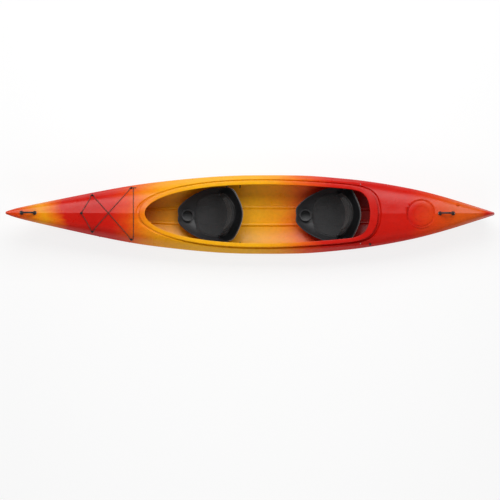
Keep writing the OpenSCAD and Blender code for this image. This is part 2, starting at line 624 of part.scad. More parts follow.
module stern_handle() { color("black") at_handle(stern_handle_x) handle(); }
module stern_handle_mounts() { color("black") at_handle(stern_handle_x) handle_mounts(stern_handle_x); }
module stern_handle_pins() { color("silver") at_handle(stern_handle_x) handle_pins(); }
module stern_handle_screws() { color("silver") at_handle(stern_handle_x) handle_screws(0, 17); }

// Deck loops: a round foot with a half ring that the cord runs through, held by a sunk screw.
loop_foot_r = 11;
loop_foot_h = 4;
loop_ring_r = 11.5;
loop_wire_r = 3;
head_r = 3.4;
head_h = 1.6;
// How far each pair stands ahead of the opening and inside the deck's knee, and the turned one at the bow.
rear_loop = [122, 7.57];
fore_loop = [475, 17.52];
bow_loop = 573;
function loop_place(pair, side) =
  let(x = -open_front - pair[0]) [x, side * (bevel_top_y(x) - pair[1]), 0];
loop_places = [loop_place(rear_loop, 1), loop_place(rear_loop, -1), loop_place(fore_loop, 1),
  [-open_front - bow_loop, 0, 90], loop_place(fore_loop, -1)];
module deck_loop(turn) {
  difference() {
    cylinder(r = loop_foot_r, h = loop_foot_h, $fn = 48);
    loop_hole(20);
    translate([0, 0, loop_foot_h - head_h - 0.2]) cylinder(r = head_r + 0.2, h = 10, $fn = 32);
  }
  rotate([0, 0, turn]) translate([0, 0, loop_foot_h - 0.5]) rotate([90, 0, 90]) difference() {
    rotate_extrude(angle = 180, $fn = 48) translate([loop_ring_r, 0]) circle(r = loop_wire_r, $fn = 24);
    translate([0, -5, 0]) cube([60, 10, 60], center = true);
  }
}
module on_deck(p, lift) {
  n = deck_normal(p[0], p[1]);
  seated_level([p[0], p[1], deck_z(p[0], p[1])] + lift * n, n) children();
}
foot_lift = 0.8;
module loop_hole(depth) { translate([0, 0, -depth]) cylinder(r = 2.2, h = depth + 20, $fn = 24); }
module loop_screw() {
  translate([0, 0, -12]) cylinder(r = 2, h = 12 + loop_foot_h - head_h, $fn = 24);
  translate([0, 0, loop_foot_h - head_h]) cylinder(r = head_r, h = head_h, $fn = 24);
}
module deck_loops() {
  color("black") for (p = loop_places) on_deck(p, foot_lift) deck_loop(p[2]);
}
module deck_loop_screws() {
  color("silver") for (p = loop_places) on_deck(p, foot_lift) loop_screw();
}
// A security loop on the port side, beside the rear of the coaming.
side_loop_inset = 4.92;
side_loop_at = [open_rear, side_loop_inset - bevel_top_y(open_rear)];
module side_loop() { color("black") on_deck(side_loop_at, foot_lift) deck_loop(0); }
module side_loop_screw() { color("silver") on_deck(side_loop_at, foot_lift) loop_screw(); }
rim_screw_in = 86;
rim_screw_inset = 15.57;
rim_screw_x = open_rear - rim_screw_in;
rim_screw_y = bevel_top_y(rim_screw_x) - rim_screw_inset;
module rim_screws() {
  color("silver") for (side = [-1, 1]) on_deck([rim_screw_x, side * rim_screw_y], foot_lift) {
    pan_head(5, 3);
    translate([0, 0, -12]) cylinder(r = 2, h = 12.5, $fn = 24);
  }
}

// The bungee: one cord round the five loops, over the deck, tied off at the starboard rear loop.
cord_r = cord_d / 2;
cord_sides = 8;
eye_lift = loop_foot_h + cord_r + foot_lift + 0.8;
deck_lift = cord_r + 1.9;
knot_r = cord_d;
knot_off = loop_foot_r + knot_r + 2;
// A point over the deck, h above its surface.
function over_deck(x, y, h) = [x, y, deck_z(x, y)] + h * deck_normal(x, y);
// Middle of a loop's eye, the ring's axis, and the side on which the cord leaves.
function loop_eye(k) =
  let(p = loop_places[k], n = deck_normal(p[0], p[1])) [p[0], p[1], deck_z(p[0], p[1])] + eye_lift * n;
function ring_axis(k) =
  let(p = loop_places[k], n = deck_normal(p[0], p[1]), x = [n[2], 0, -n[0]] / norm([n[2], 0, -n[0]]))
  cos(p[2]) * x + sin(p[2]) * cross(n, x);
loop_way = [1, -1, -1, -1, 1];
eye_half = 6.6;
// Through an eye: straight along the ring's axis, then past the foot towards the plan direction d.
function eye_points(k) = [for (s = [-1, 1]) loop_eye(k) + loop_way[k] * s * eye_half * ring_axis(k)];
function beside_eye(k, end, d) =
  let(n = deck_normal(loop_places[k][0], loop_places[k][1]))
  let(t = [d[0], d[1], -(n[0] * d[0] + n[1] * d[1]) / n[2]])
  loop_eye(k) + end * loop_way[k] * eye_half * ring_axis(k) + foot_clear * t / norm(t);
function hump(s) = pow(sin(180 * s), 6);
foot_clear = 14;
// The run from one place to the next. It leaves a loop level with its eye, drops to the deck and
// crosses the ridge; ka and kb number the loops, or are -1 where there is none.
function run_points(a, b, ka, kb, cross_lift) =
  let(d = norm(b - a), n = round(d / 36))
  let(ridge = a[1] * b[1] < 0 ? a[1] / (a[1] - b[1]) : -1)
  concat(
    ka < 0 ? [] : [beside_eye(ka, 1, b - a)],
    [for (i = [0:n])
      let(u = i / n, s = abs(u - ridge) < 0.5 / n ? ridge : u)
      if (min(s, 1 - s) * d > 34)
        let(p = lerp(a, b, s)) over_deck(p[0], p[1], deck_lift + cross_lift * hump(s))],
    kb < 0 ? [] : [beside_eye(kb, -1, a - b)]);
function loop_xy(k) = [loop_places[k][0], loop_places[k][1]];
knot_xy = loop_xy(0) + knot_off * [cos(loop_places[0][2]), sin(loop_places[0][2])];
knot_at = over_deck(knot_xy[0], knot_xy[1], knot_r + 0.6);
// The cord's two ends stop just short of the knot's skin.
function to_knot(p) = knot_at + (knot_r + 0.3) * (p - knot_at) / norm(p - knot_at);
function cord_run() = concat(
  run_points(knot_xy, loop_xy(1) + [20, 0], -1, -1, 0), [loop_eye(1) + 17 * ring_axis(1)], eye_points(1),
  run_points(loop_xy(1), loop_xy(2), 1, 2, 0), eye_points(2),
  run_points(loop_xy(2), loop_xy(3), 2, 3, 0), eye_points(3),
  run_points(loop_xy(3), loop_xy(4), 3, 4, 0), eye_points(4),
  run_points(loop_xy(4), loop_xy(0), 4, 0, cord_d + 1), eye_points(0));
function cord_path() =
  let(run = cord_run()) concat([to_knot(run[0])], run, [to_knot(run[len(run) - 1])]);
// Rings of n points round a path.
function path_dir(p, i) =
  let(a = p[max(0, i - 1)], b = p[min(len(p) - 1, i + 1)])
  let(u = (p[i] - a) / max(1, norm(p[i] - a)), v = (b - p[i]) / max(1, norm(b - p[i])), d = u + v)
  d / norm(d);
function tube_rings(p, r, n) = [
  for (i = [0:len(p) - 1])
    let(t = path_dir(p, i), s = cross(t, [0, 0, 1]) / norm(cross(t, [0, 0, 1])), u = cross(s, t))
    [for (j = [0:n - 1]) p[i] + r * (cos(360 * j / n) * s + sin(360 * j / n) * u)]
];
module deck_bungee() {
  rings = tube_rings(cord_path(), cord_r, cord_sides);
  color("darkslategray") polyhedron(flat(rings), tube_faces(len(rings), cord_sides), convexity = 6);
}
// The knot is a ball that runs out into the cord's short tail.
knot_tail = 28;
knot_steps = 12;
tail_dip = 83;
module bungee_knot() {
  neck = 90 - asin(cord_r / knot_r);
  ball = [for (i = [0:knot_steps]) let(a = lerp(-90, neck, i / knot_steps)) knot_r * [cos(a), sin(a)]];
  color("darkslategray") translate(knot_at) rotate([0, tail_dip, 0]) rotate_extrude($fn = 32)
    polygon(concat(ball, [[cord_r, knot_tail], [0, knot_tail]]));
}

// Drain plug on the starboard quarter: a flange, a seal and a plug on a short screw.
drain_in = 334;
drain_inset = 33.94;
drain_xy = [half_len - drain_in, bevel_top_y(half_len - drain_in) - drain_inset];
drain_at = [drain_xy[0], drain_xy[1], deck_z(drain_xy[0], drain_xy[1])];
drain_n = deck_normal(drain_xy[0], drain_xy[1]);
flange_h = 4;
seal_h = 1.6;
plug_shank_r = 7;
drain_lift = 0.4;
module at_drain(h) { seated(drain_at + (drain_lift + h) * drain_n, drain_n) children(); }
module drain_flange() {
  color("black") at_drain(0) difference() {
    cylinder(r = plug_r + 4, h = flange_h, $fn = 64);
    translate([0, 0, -1]) cylinder(r = plug_shank_r + 0.3, h = 10, $fn = 48);
  }
}
module drain_seal() {
  color("dimgray") at_drain(flange_h + 0.15) difference() {
    cylinder(r = plug_r - 1, h = seal_h, $fn = 64);
    translate([0, 0, -1]) cylinder(r = plug_shank_r + 0.1, h = 10, $fn = 48);
  }
}
module drain_plug() {
  color("black") at_drain(0) {
    translate([0, 0, -14]) cylinder(r = plug_shank_r, h = 14 + flange_h + seal_h + 1, $fn = 48);
    translate([0, 0, flange_h + seal_h + 0.3]) cylinder(r = plug_r, h = 4, $fn = 64);
    translate([-plug_r + 2, -2, flange_h + seal_h + 3.8]) cube([2 * plug_r - 4, 4, 5]);
  }
}

// Foam pillars under the fore and aft decks.
pillar_gap = 1.4;
pillar_half = 32;
module pillar(x0, x1) {
  steps = 8;
  rows = [for (i = [0:steps]) let(x = lerp(x0, x1, i / steps))
    let(low = hull_floor(x, pillar_half) + pillar_gap, mid = keel_z(x) + wall * 1.1 + pillar_gap)
    let(top = deck_point(x, 0, wall)[2] - pillar_gap, side = deck_z(x, pillar_half) - wall * 1.4 - pillar_gap)
    [[x, 0, mid], [x, -pillar_half, low], [x, -pillar_half, side], [x, 0, top],
     [x, pillar_half, side], [x, pillar_half, low]]];
  polyhedron(flat(rows), tube_faces(len(rows), 6), convexity = 4);
}
bow_foam_in = 450;
stern_foam_in = 810;
pillar_len = [170, 160];
bow_foam_x = [-half_len + bow_foam_in, -half_len + bow_foam_in + pillar_len[0]];
stern_foam_x = [half_len - stern_foam_in - pillar_len[1], half_len - stern_foam_in];
module bow_foam() { color("whitesmoke") pillar(bow_foam_x[0], bow_foam_x[1]); }
module stern_foam() { color("whitesmoke") pillar(stern_foam_x[0], stern_foam_x[1]); }

// Seat pan: a bucket whose outline and rim height are given from its front edge back.
pan_mid = 300;
pan_half = [[0, 0], [0, 62], [60, 128], [126, 172], [200, 208], [275, 232], [360, 240], [430, 236],
  [475, 220], [500, 193], [525, 145], [548, 90], [562, 40], [566, 0]];
pan_rim = [[0, 0], [60, 0.03], [126, 0.06], [200, 0.15], [275, 0.30], [360, 0.52], [430, 0.78],
  [475, 0.90], [525, 0.98], [566, 1.00]];
pan_loop = closed_loop(pan_half);
pan_k = 3.2;
function pan_rim_z(s) = lerp(pan_front_h, pan_rear_h, curve(pan_rim, 1, s));
function pan_point(m, g, t, lift) =
  let(q = pan_loop[m % len(pan_loop)], v = [q[0] - pan_mid, q[1]], reach = norm(v), d = v / reach)
  let(rise = pan_rim_z(q[0]) - pan_floor)
  let(slope = rise * pan_k * pow(g, pan_k - 1) / reach, n = norm([slope, 1]))
  [pan_mid + d[0] * (g * reach + t * slope / n), d[1] * (g * reach + t * slope / n),
   pan_floor + rise * pow(g, pan_k) - t / n + lift];
function pan_flange(m, out, down) =
  let(q = pan_loop[m % len(pan_loop)], v = [q[0] - pan_mid, q[1]], d = v / norm(v))
  [q[0] + d[0] * out, q[1] + d[1] * out, pan_rim_z(q[0]) - down];
pan_top_rings = [0.3, 0.5, 0.64, 0.76, 0.87, 1];
pan_under_rings = [0.96, 0.86, 0.72, 0.5, 0.3];
pan_levels = [for (g = concat([0], pan_top_rings)) [g, pow(g, pan_k)]];
seat_x = [-front_seat_x, -front_seat_x + seat_pitch];
module at_seat(i) { translate([seat_x[i], 0, 0]) children(); }
cup_s = 76;
cup_top = 101;
cup_low = 34;
cup_wall = 4;
hinge_s = 364;
hinge_z = 150;
hinge_r = 5;
washer_r = 8;
washer_t = 4;
// Middle of each backrest eye and half its length.
eye_y = 182;
eye_run = 6;
// Half-width of the pan's inner skin at height z, beside the backrest hinge.
function pan_wall_y(z) =
  pow((z - pan_floor) / (pan_rim_z(hinge_s) - pan_floor), 1 / pan_k) * lookup(hinge_s, pan_half);
module seat_pan(i) {
  m = len(pan_loop);
  rows = concat([for (g = pan_top_rings) [for (c = [0:m - 1]) pan_point(c, g, 0, 0)]],
    [[for (c = [0:m - 1]) pan_flange(c, flange_w, 0)], [for (c = [0:m - 1]) pan_flange(c, flange_w, pan_t)]],
    [for (g = pan_under_rings) [for (c = [0:m - 1]) pan_point(c, g, pan_t, 0)]]);
  points = concat([[pan_mid, 0, pan_floor]], flat(rows), [[pan_mid, 0, pan_floor - pan_t]]);
  color("#26272b") at_seat(i) difference() {
    union() {
      polyhedron(points, bowl_faces(len(rows), m), convexity = 6);
      translate([cup_s, 0, cup_low]) cylinder(r = cup_r + cup_wall, h = cup_top - cup_low, $fn = 96);
      translate([cup_s, 0, cup_top - 5]) cylinder(r = cup_r + 11, h = 5, $fn = 96);
    }
    translate([cup_s, 0, cup_low + cup_wall]) cylinder(r = cup_r, h = 100, $fn = 96);
    for (side = [-1, 1]) {
      translate([hinge_s, side * 180, hinge_z]) rotate([-side * 90, 0, 0])
        cylinder(r = hinge_r + 0.2, h = 60, $fn = 48);
      at_flange(side) translate([flange_bolt_off, 0, -20]) cylinder(r = 2.7, h = 40, $fn = 24);
    }
  }
}
runner_s = [225, 385];
runner_y = 28;
runner_w = 32;
module seat_runners(i) {
  steps = 8;
  top = pan_floor - pan_t - 0.3;
  color("dimgray") at_seat(i) for (side = [-1, 1])
    translate([0, side * runner_y + runner_w / 2, 0]) rotate([90, 0, 0]) linear_extrude(height = runner_w)
      polygon(concat(
        [for (j = [0:steps]) let(s = lerp(runner_s[0], runner_s[1], j / steps))
          [s, keel_z(seat_x[i] + s) + wall + 0.8]],
        [[runner_s[1], top], [runner_s[0], top]]));
}
// Seat pad: lies in the pan behind the cup holder, crowned, with its sides drawn in.
pad_share = [[0, 0.55], [60, 0.64], [126, 0.80], [200, 0.85], [430, 0.83], [500, 0.76], [566, 0.66]];
pad_top_rings = [[0.35, 1], [0.6, 1], [0.8, 0.97], [0.93, 0.84], [1, 0.55]];
pad_low_rings = [0.97, 0.87, 0.74, 0.58, 0.36];
pad_lift = 1.2;
// A point of the pad: it follows the pan's own facets, lift above them.
function pad_point(m, g, lift) =
  let(q = pan_loop[m], v = [q[0] - pan_mid, q[1]])
  let(z = pan_floor + (pan_rim_z(q[0]) - pan_floor) * lookup(g, pan_levels))
  [pan_mid + v[0] * g, v[1] * g, z + lift];
module seat_pad(i) {
  m = len(pan_loop);
  reach = [for (c = [0:m - 1]) curve(pad_share, 1, pan_loop[c][0])];
  rows = concat(
    [for (r = pad_top_rings) [for (c = [0:m - 1]) pad_point(c, r[0] * reach[c], pad_lift + pad_t * r[1])]],
    [for (g = pad_low_rings) [for (c = [0:m - 1]) pad_point(c, g * reach[c], pad_lift)]]);
  low = pan_floor + pad_lift;
  points = concat([[pan_mid, 0, low + pad_t]], flat(rows), [[pan_mid, 0, low]]);
  color("#3a3b3e") at_seat(i) polyhedron(points, bowl_faces(len(rows), m), convexity = 6);
}
// Backrest: a curved panel that leans back and wraps forward at its sides.
back_low = 138;
back_s = 480;
back_lean = 0.24;
back_sweep = 80;
back_shape = [[0, 0.93], [0.05, 0.985], [0.2, 1], [0.56, 1], [0.75, 0.87], [0.9, 0.62], [1, 0.28]];
function back_point(a, b, t) =
  let(y = a * back_half * curve(back_shape, 1, b), z = lerp(back_low, back_top, b))
  [back_s + (z - 292) * back_lean - back_sweep * pow(y / back_half, 2) - t, y, z];
pad_gap = 1.3;
back_cols = 12;
back_rows = [0, 0.06, 0.2, 0.35, 0.5, 0.62, 0.74, 0.84, 0.92, 0.97, 1];
function back_grid(t, b0, b1, width, fn) = [
  for (b = back_rows) each [for (c = [0:back_cols])
    let(a = width * (2 * c / back_cols - 1), bb = lerp(b0, b1, b))
    back_point(a, bb, t + fn(2 * c / back_cols - 1, 2 * b - 1))]];
module backrest(i) {
  n = len(back_rows);
  none = function(a, b) 0;
  color("#232427") at_seat(i) difference() {
    union() {
      polyhedron(concat(back_grid(0, 0, 1, 1, none), back_grid(back_t, 0, 1, 1, none)),
        plate_faces(n, back_cols + 1), convexity = 6);
      for (side = [-1, 1]) translate([hinge_s, side * eye_y, hinge_z]) rotate([90, 0, 0])
        cylinder(r = hinge_r + 7, h = 2 * eye_run, center = true, $fn = 48);
    }
    for (side = [-1, 1]) translate([hinge_s, side * eye_y, hinge_z]) rotate([90, 0, 0])
      cylinder(r = hinge_r + 0.1, h = 30, center = true, $fn = 48);
  }
}
module backrest_pad(i) {
  n = len(back_rows);
  swell = function(a, b) back_pad_t * (0.45 + 0.55 * (1 - pow(abs(a), 6)) * (1 - pow(abs(b), 6)));
  none = function(a, b) 0;
  grid = function(proud) back_grid(back_t + pad_gap, 0.16, 0.95, 0.84, proud);
  color("#3a3b3e") at_seat(i)
    polyhedron(concat(grid(none), grid(swell)), plate_faces(n, back_cols + 1), convexity = 6);
}
// Each pin runs from its eye out through the pan, with a spacer inside the pan and a washer outside.
module backrest_pins(i) {
  start = eye_y - eye_run + 1;
  spacer = [eye_y + eye_run + 0.5, pan_wall_y(hinge_z - washer_r) - 3.7];
  washer = pan_wall_y(hinge_z + washer_r) + pan_t + 1.6;
  color("silver") at_seat(i) for (side = [-1, 1])
    translate([hinge_s, 0, hinge_z]) rotate([-side * 90, 0, 0]) {
      translate([0, 0, start]) cylinder(r = hinge_r, h = washer + washer_t - start, $fn = 48);
      translate([0, 0, spacer[0]]) cylinder(r = washer_r, h = spacer[1] - spacer[0], $fn = 48);
      translate([0, 0, washer]) cylinder(r = washer_r, h = washer_t, $fn = 48);
    }
}
// Brackets carry the pan's rim from the wall of the coaming: a foot on the flange, a web and a plate.
bracket_s = 430;
bracket_y = 241;
bracket_w = 30;
bracket_t = 4;
bolt_rise = 20;
flange_bolt_off = -9;
function coaming_foot_z(x) =
  deck_z(x, open_w(x) + lip_side + groove_side) - groove_depth - wall;
flange_tilt = atan((pan_rim_z(bracket_s + 8) - pan_rim_z(bracket_s - 8)) / 16);
module at_flange(side) {
  translate([bracket_s, side * bracket_y, pan_rim_z(bracket_s)]) rotate([0, -flange_tilt, 0]) children();
}
// Outer face of a bracket's plate, just inside the coaming wall.
function plate_face(i) =
  let(x = seat_x[i] + bracket_s) min(open_w(x - bracket_w / 2), open_w(x + bracket_w / 2)) - 1.5;
module seat_brackets(i) {
  x = seat_x[i] + bracket_s;
  plate_y = plate_face(i);
  low = coaming_foot_z(x) - 8;
  foot_z = pan_rim_z(bracket_s) + 3;
  color("#2b2c2f") difference() {
    for (side = [-1, 1]) {
      translate([x - bracket_w / 2, side > 0 ? plate_y - bracket_t : -plate_y, low])
        cube([bracket_w, bracket_t, bolt_rise + 20]);
      at_seat(i) at_flange(side) translate([-14, -4.5, 0.6]) cube([26, 9, 5]);
      translate([x - 4, 0, 0]) rotate([90, 0, 90]) linear_extrude(height = 8)
        scale([side, 1]) polygon([[plate_y - 0.3, low], [plate_y - 0.3, low + 5],
          [plate_y - bracket_t + 0.3, low + 5], [plate_y - bracket_t + 0.3, low],
          [bracket_y - 4, foot_z], [bracket_y + 3.5, foot_z]]);
    }
    for (side = [-1, 1]) {
      coaming_bolt(i, side, 0.2, 30);
      at_seat(i) at_flange(side) translate([flange_bolt_off, 0, -10]) cylinder(r = 2.7, h = 40, $fn = 24);
    }
  }
}
module coaming_bolt(i, side, gap, len) {
  x = seat_x[i] + bracket_s;
  y = side * (plate_face(i) - bracket_t);
  translate([x, y, coaming_foot_z(x) + bolt_rise]) rotate([-side * 90, 0, 0]) {
    translate([0, 0, -1]) cylinder(r = screw_r + gap, h = len + 1, $fn = 32);
    if (gap == 0) translate([0, 0, -3.1]) cylinder(r = 6, h = 3, $fn = 32);
  }
}
module seat_bolts(i) {
  color("silver") for (side = [-1, 1]) {
    coaming_bolt(i, side, 0, 18);
    at_seat(i) at_flange(side) translate([flange_bolt_off, 0, 0]) {
      translate([0, 0, -10]) cylinder(r = 2.5, h = 17, $fn = 24);
      translate([0, 0, 5.9]) cylinder(r = 4, h = 2.5, $fn = 24);
    }
  }
}
// Webbing on edge round the back of the bucket, from bracket to bracket.
strap_s = bracket_s + 10;
strap_rise = 26.5;
module seat_strap(i) {
  rear = [for (c = [0:len(pan_loop) - 1]) if (pan_loop[c][0] > strap_s) c];
  near = [for (c = rear) let(p = pan_flange(c, flange_w + 1, 0)) [p[0], p[1]]];
  far = [for (c = rear) let(p = pan_flange(c, flange_w + 1 + web_t, 0)) [p[0], p[1]]];
  n = len(rear);
  low = pan_rim_z(bracket_s) + strap_rise - web_w;
  color("gray") at_seat(i) translate([0, 0, low]) linear_extrude(height = web_w)
    polygon(concat(near, [for (j = [n - 1:-1:0]) far[j]]));
}

// Foot braces: a rail on two screws along the inside of the hull, and a pedal that slides on it.
standoff = 8;
rail_end = 16;
// Middle of each rail, its height there and how it falls towards the stern.
bow_rail_ahead = 582;
mid_rail_ahead = 519;
rail_stations = [[seat_x[0] - bow_rail_ahead, 188, -0.125], [seat_x[1] - mid_rail_ahead, 128, 0]];
function side_lean(x, z) = atan((hull_half(x, z + 8, wall) - hull_half(x, z - 8, wall)) / 16);
function rail_roll(r) = side_lean(rail_stations[r][0], rail_stations[r][1]);
function rail_foot(r, s) =
  let(t = rail_stations[r], x = t[0] + (s - 0.5) * rail_screws_gap, z = t[1] + (x - t[0]) * t[2])
  [x, hull_half(x, z, wall) - standoff * cos(rail_roll(r)), z + standoff * sin(rail_roll(r))];
function rail_vector(r) = rail_foot(r, 1) - rail_foot(r, 0);
function rail_span(r) = norm(rail_vector(r));
function rail_pitch(r) = let(v = rail_vector(r)) atan2(v[2], norm([v[0], v[1]]));
function rail_yaw(r) = let(v = rail_vector(r)) atan2(v[1], v[0]);
module at_rail(r, side) {
  mirror([0, side < 0 ? 1 : 0, 0]) translate(rail_foot(r, 0)) rotate([0, -rail_pitch(r), rail_yaw(r)])
    rotate([-rail_roll(r), 0, 0]) children();
}
module rail(r, side) {
  boss = standoff - 1.8;
  color("silver") at_rail(r, side) difference() {
    union() {
      translate([-rail_end, -rail_d, -rail_h / 2]) cube([rail_span(r) + 2 * rail_end, rail_d, rail_h]);
      for (s = [0, 1]) translate([s * rail_span(r), -0.5, 0]) rotate([-90, 0, 0])
        cylinder(r = 5.5, h = boss + 0.5, $fn = 32);
    }
    for (s = [0, 1]) translate([s * rail_span(r), -rail_d - 1, 0]) rotate([-90, 0, 0])
      cylinder(r = screw_r + 0.2, h = 60, $fn = 32);
    translate([20, -rail_d - 1, -3]) cube([rail_span(r) - 40, 5, 6]);
  }
}
module pedal(r, side) {
  shoe = 42;
  gap = 0.4;
  color("#222222") at_rail(r, side) translate([rail_span(r) / 2, 0, 0]) {
    difference() {
      translate([-shoe / 2, -rail_d - 9, -rail_h / 2 - 4]) cube([shoe, rail_d + 9 + gap + 3, rail_h + 8]);
      translate([-shoe, -rail_d - gap, -rail_h / 2 - gap])
        cube([2 * shoe, rail_d + 2 * gap, rail_h + 2 * gap]);
      translate([-shoe, 0, -7]) cube([2 * shoe, 20, 14]);
    }
    translate([-4, -rail_d - 8, 0]) rotate([90, 0, 0]) linear_extrude(height = pedal_w) difference() {
      translate([0, -pedal_h * 0.4]) square([8, pedal_h]);
      translate([-1, -pedal_h * 0.4 + 14]) square([4, 6]);
    }
    for (z = [-0.3, -0.1, 0.1, 0.3, 0.5]) translate([3, -rail_d - pedal_w - 2, z * pedal_h - 2])
      cube([4, pedal_w - 6, 4]);
  }
}
module rail_screws() {
  color("silver") for (r = [0, 1], side = [-1, 1]) at_rail(r, side)
    for (s = [0, 1]) translate([s * rail_span(r), 0, 0]) rotate([-90, 0, 0]) {
      translate([0, 0, -rail_d + 1]) cylinder(r = screw_r, h = rail_d + standoff + wall + 2, $fn = 32);
      translate([0, 0, standoff + wall + 1.6]) pan_head(6.5, 3.6);
    }
}

hull_body();  // hull
bow_deck();
port_side_deck();
starboard_side_deck();
stern_deck();
skid_plate();
skid_plate_screws();
bow_handle();
bow_handle_mounts();
bow_handle_pins();
bow_handle_screws();
stern_handle();
stern_handle_mounts();
stern_handle_pins();
stern_handle_screws();
deck_loops();
deck_loop_screws();
deck_bungee();
bungee_knot();
side_loop();
side_loop_screw();
rim_screws();
drain_flange();
drain_plug();
drain_seal();
bow_foam();
stern_foam();
seat_pan(0);  // front_seat_pan
seat_runners(0);  // front_seat_runners
seat_pad(0);  // front_seat_pad
seat_brackets(0);  // front_seat_brackets
seat_bolts(0);  // front_seat_bolts
backrest(0);  // front_backrest
backrest_pad(0);  // front_backrest_pad
backrest_pins(0);  // front_backrest_pins
seat_strap(0);  // front_seat_strap
seat_pan(1);  // rear_seat_pan
seat_runners(1);  // rear_seat_runners
seat_pad(1);  // rear_seat_pad
seat_brackets(1);  // rear_seat_brackets
seat_bolts(1);  // rear_seat_bolts
backrest(1);  // rear_backrest
backrest_pad(1);  // rear_backrest_pad
backrest_pins(1);  // rear_backrest_pins
seat_strap(1);  // rear_seat_strap
rail(0, -1);  // bow_port_rail
rail(0, 1);  // bow_starboard_rail
rail(1, -1);  // mid_port_rail
rail(1, 1);  // mid_starboard_rail
pedal(0, -1);  // bow_port_pedal
pedal(0, 1);  // bow_starboard_pedal
pedal(1, -1);  // mid_port_pedal
pedal(1, 1);  // mid_starboard_pedal
rail_screws();
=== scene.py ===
"""Looks of the tandem kayak. Shapes are worked out in millimetres and stored in metres."""
import json
import math

import bmesh
import bpy
import numpy as np
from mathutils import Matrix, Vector


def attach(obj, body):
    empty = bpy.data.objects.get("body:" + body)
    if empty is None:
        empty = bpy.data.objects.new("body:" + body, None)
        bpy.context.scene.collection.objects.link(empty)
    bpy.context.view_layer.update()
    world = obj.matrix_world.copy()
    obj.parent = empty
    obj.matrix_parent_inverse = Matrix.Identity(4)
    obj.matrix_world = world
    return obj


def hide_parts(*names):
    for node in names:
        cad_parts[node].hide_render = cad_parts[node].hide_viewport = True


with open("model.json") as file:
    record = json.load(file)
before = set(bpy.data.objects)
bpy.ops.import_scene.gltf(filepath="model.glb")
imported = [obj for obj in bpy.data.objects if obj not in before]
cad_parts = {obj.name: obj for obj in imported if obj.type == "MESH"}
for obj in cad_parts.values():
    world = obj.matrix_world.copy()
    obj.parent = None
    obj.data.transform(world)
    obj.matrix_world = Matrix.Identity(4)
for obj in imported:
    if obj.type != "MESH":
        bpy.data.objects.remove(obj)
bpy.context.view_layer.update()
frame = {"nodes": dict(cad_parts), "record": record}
MM = 0.001

# Sizes of the boat, as in the part's source
HULL_LEN = 4420.0
BEAM = 712.0
WALL = 6.0
SEAM_H, BOW_SEAM_H, STERN_SEAM_H = 200.0, 424.0, 300.0
STEM_FOOT_H, STERN_FOOT_H = 400.0, 72.0
TAIL_STEP, TRANSOM_RAKE, TAIL_RAMP_LEN = 35.0, 40.0, 250.0
CHANNEL_DEPTH, CHANNEL_RUN = 11.0, 1350.0
CROWN_H, BEVEL_H, BEVEL_W = 150.0, 50.0, 34.0
HATCH_X, HATCH_R, HATCH_RING_R = 1548.0, 114.0, 68.0
HATCH_STEP, HATCH_GROOVE, HATCH_SINK = 6.0, 11.0, 7.0
OPEN_FRONT, OPEN_REAR, OPEN_HALF = 951.0, 1085.0, 267.0
RIM_H, LIP_T = 91.0, 8.0
LIP_SIDE, LIP_FRONT, LIP_REAR = 35.0, 51.0, 72.0
GROOVE_SIDE, GROOVE_END, GROOVE_DEPTH = 14.0, 32.0, 8.0
HALF_LEN = HULL_LEN / 2

# Lines of the boat: station, half-breadth, keel rise, seam rise, crown, bevel
LINES = [
    (-0.50, 0.030, 1.000, 1.000, 0.080, 0.10), (-0.48, 0.112, 0.770, 0.906, 0.173, 0.12),
    (-0.45, 0.202, 0.480, 0.763, 0.320, 0.15), (-0.40, 0.337, 0.250, 0.607, 0.447, 0.20),
    (-0.35, 0.469, 0.152, 0.451, 0.607, 0.28), (-0.30, 0.596, 0.102, 0.313, 0.760, 0.40),
    (-0.25, 0.711, 0.065, 0.205, 0.893, 0.55), (-0.20, 0.803, 0.042, 0.134, 0.993, 0.80),
    (-0.10, 0.935, 0.012, 0.040, 1.000, 1.00), (-0.05, 0.978, 0.000, 0.010, 0.970, 1.00),
    (0.00, 0.997, 0.000, 0.000, 0.933, 1.00), (0.05, 1.000, 0.000, 0.015, 0.890, 1.00),
    (0.10, 0.992, 0.042, 0.060, 0.833, 1.00), (0.20, 0.899, 0.208, 0.260, 0.700, 0.85),
    (0.25, 0.820, 0.333, 0.430, 0.620, 0.50), (0.30, 0.716, 0.458, 0.590, 0.593, 0.30),
    (0.35, 0.587, 0.597, 0.780, 0.493, 0.22), (0.40, 0.421, 0.736, 0.910, 0.467, 0.18),
    (0.45, 0.230, 0.847, 0.940, 0.480, 0.14), (0.48, 0.112, 0.944, 0.970, 0.467, 0.12),
    (0.50, 0.030, 1.000, 1.000, 0.440, 0.10),
]
RIM_LINES = [
    (0.000, 1.65), (0.025, 1.45), (0.070, 1.27), (0.160, 1.07), (0.250, 1.03), (0.340, 1.01),
    (0.467, 1.00), (0.600, 1.00), (0.780, 1.03), (0.870, 1.00), (0.913, 1.00), (0.958, 1.07),
    (1.000, 1.20),
]


def lerp(a, b, s):
    return a + (b - a) * s


def smooth_curve(rows, column=1):
    """A curve through the rows that never overshoots them."""
    t = np.array([r[0] for r in rows], float)
    v = np.array([r[column] for r in rows], float)
    h, s = np.diff(t), np.diff(v) / np.diff(t)
    m = np.concatenate([[s[0]], np.zeros(len(s) - 1), [s[-1]]])
    for i in range(1, len(s)):
        if s[i - 1] * s[i] > 0:
            m[i] = 2 * s[i - 1] * s[i] / (s[i - 1] + s[i])

    def at(f):
        f = np.asarray(f, float)
        i = np.clip(np.searchsorted(t, f, side="right") - 1, 0, len(h) - 1)
        u = np.clip((f - t[i]) / h[i], 0, 1)
        u2, u3 = u * u, u * u * u
        return ((2 * u3 - 3 * u2 + 1) * v[i] + (u3 - 2 * u2 + u) * m[i] * h[i]
                + (3 * u2 - 2 * u3) * v[i + 1] + (u3 - u2) * m[i + 1] * h[i])
    return at


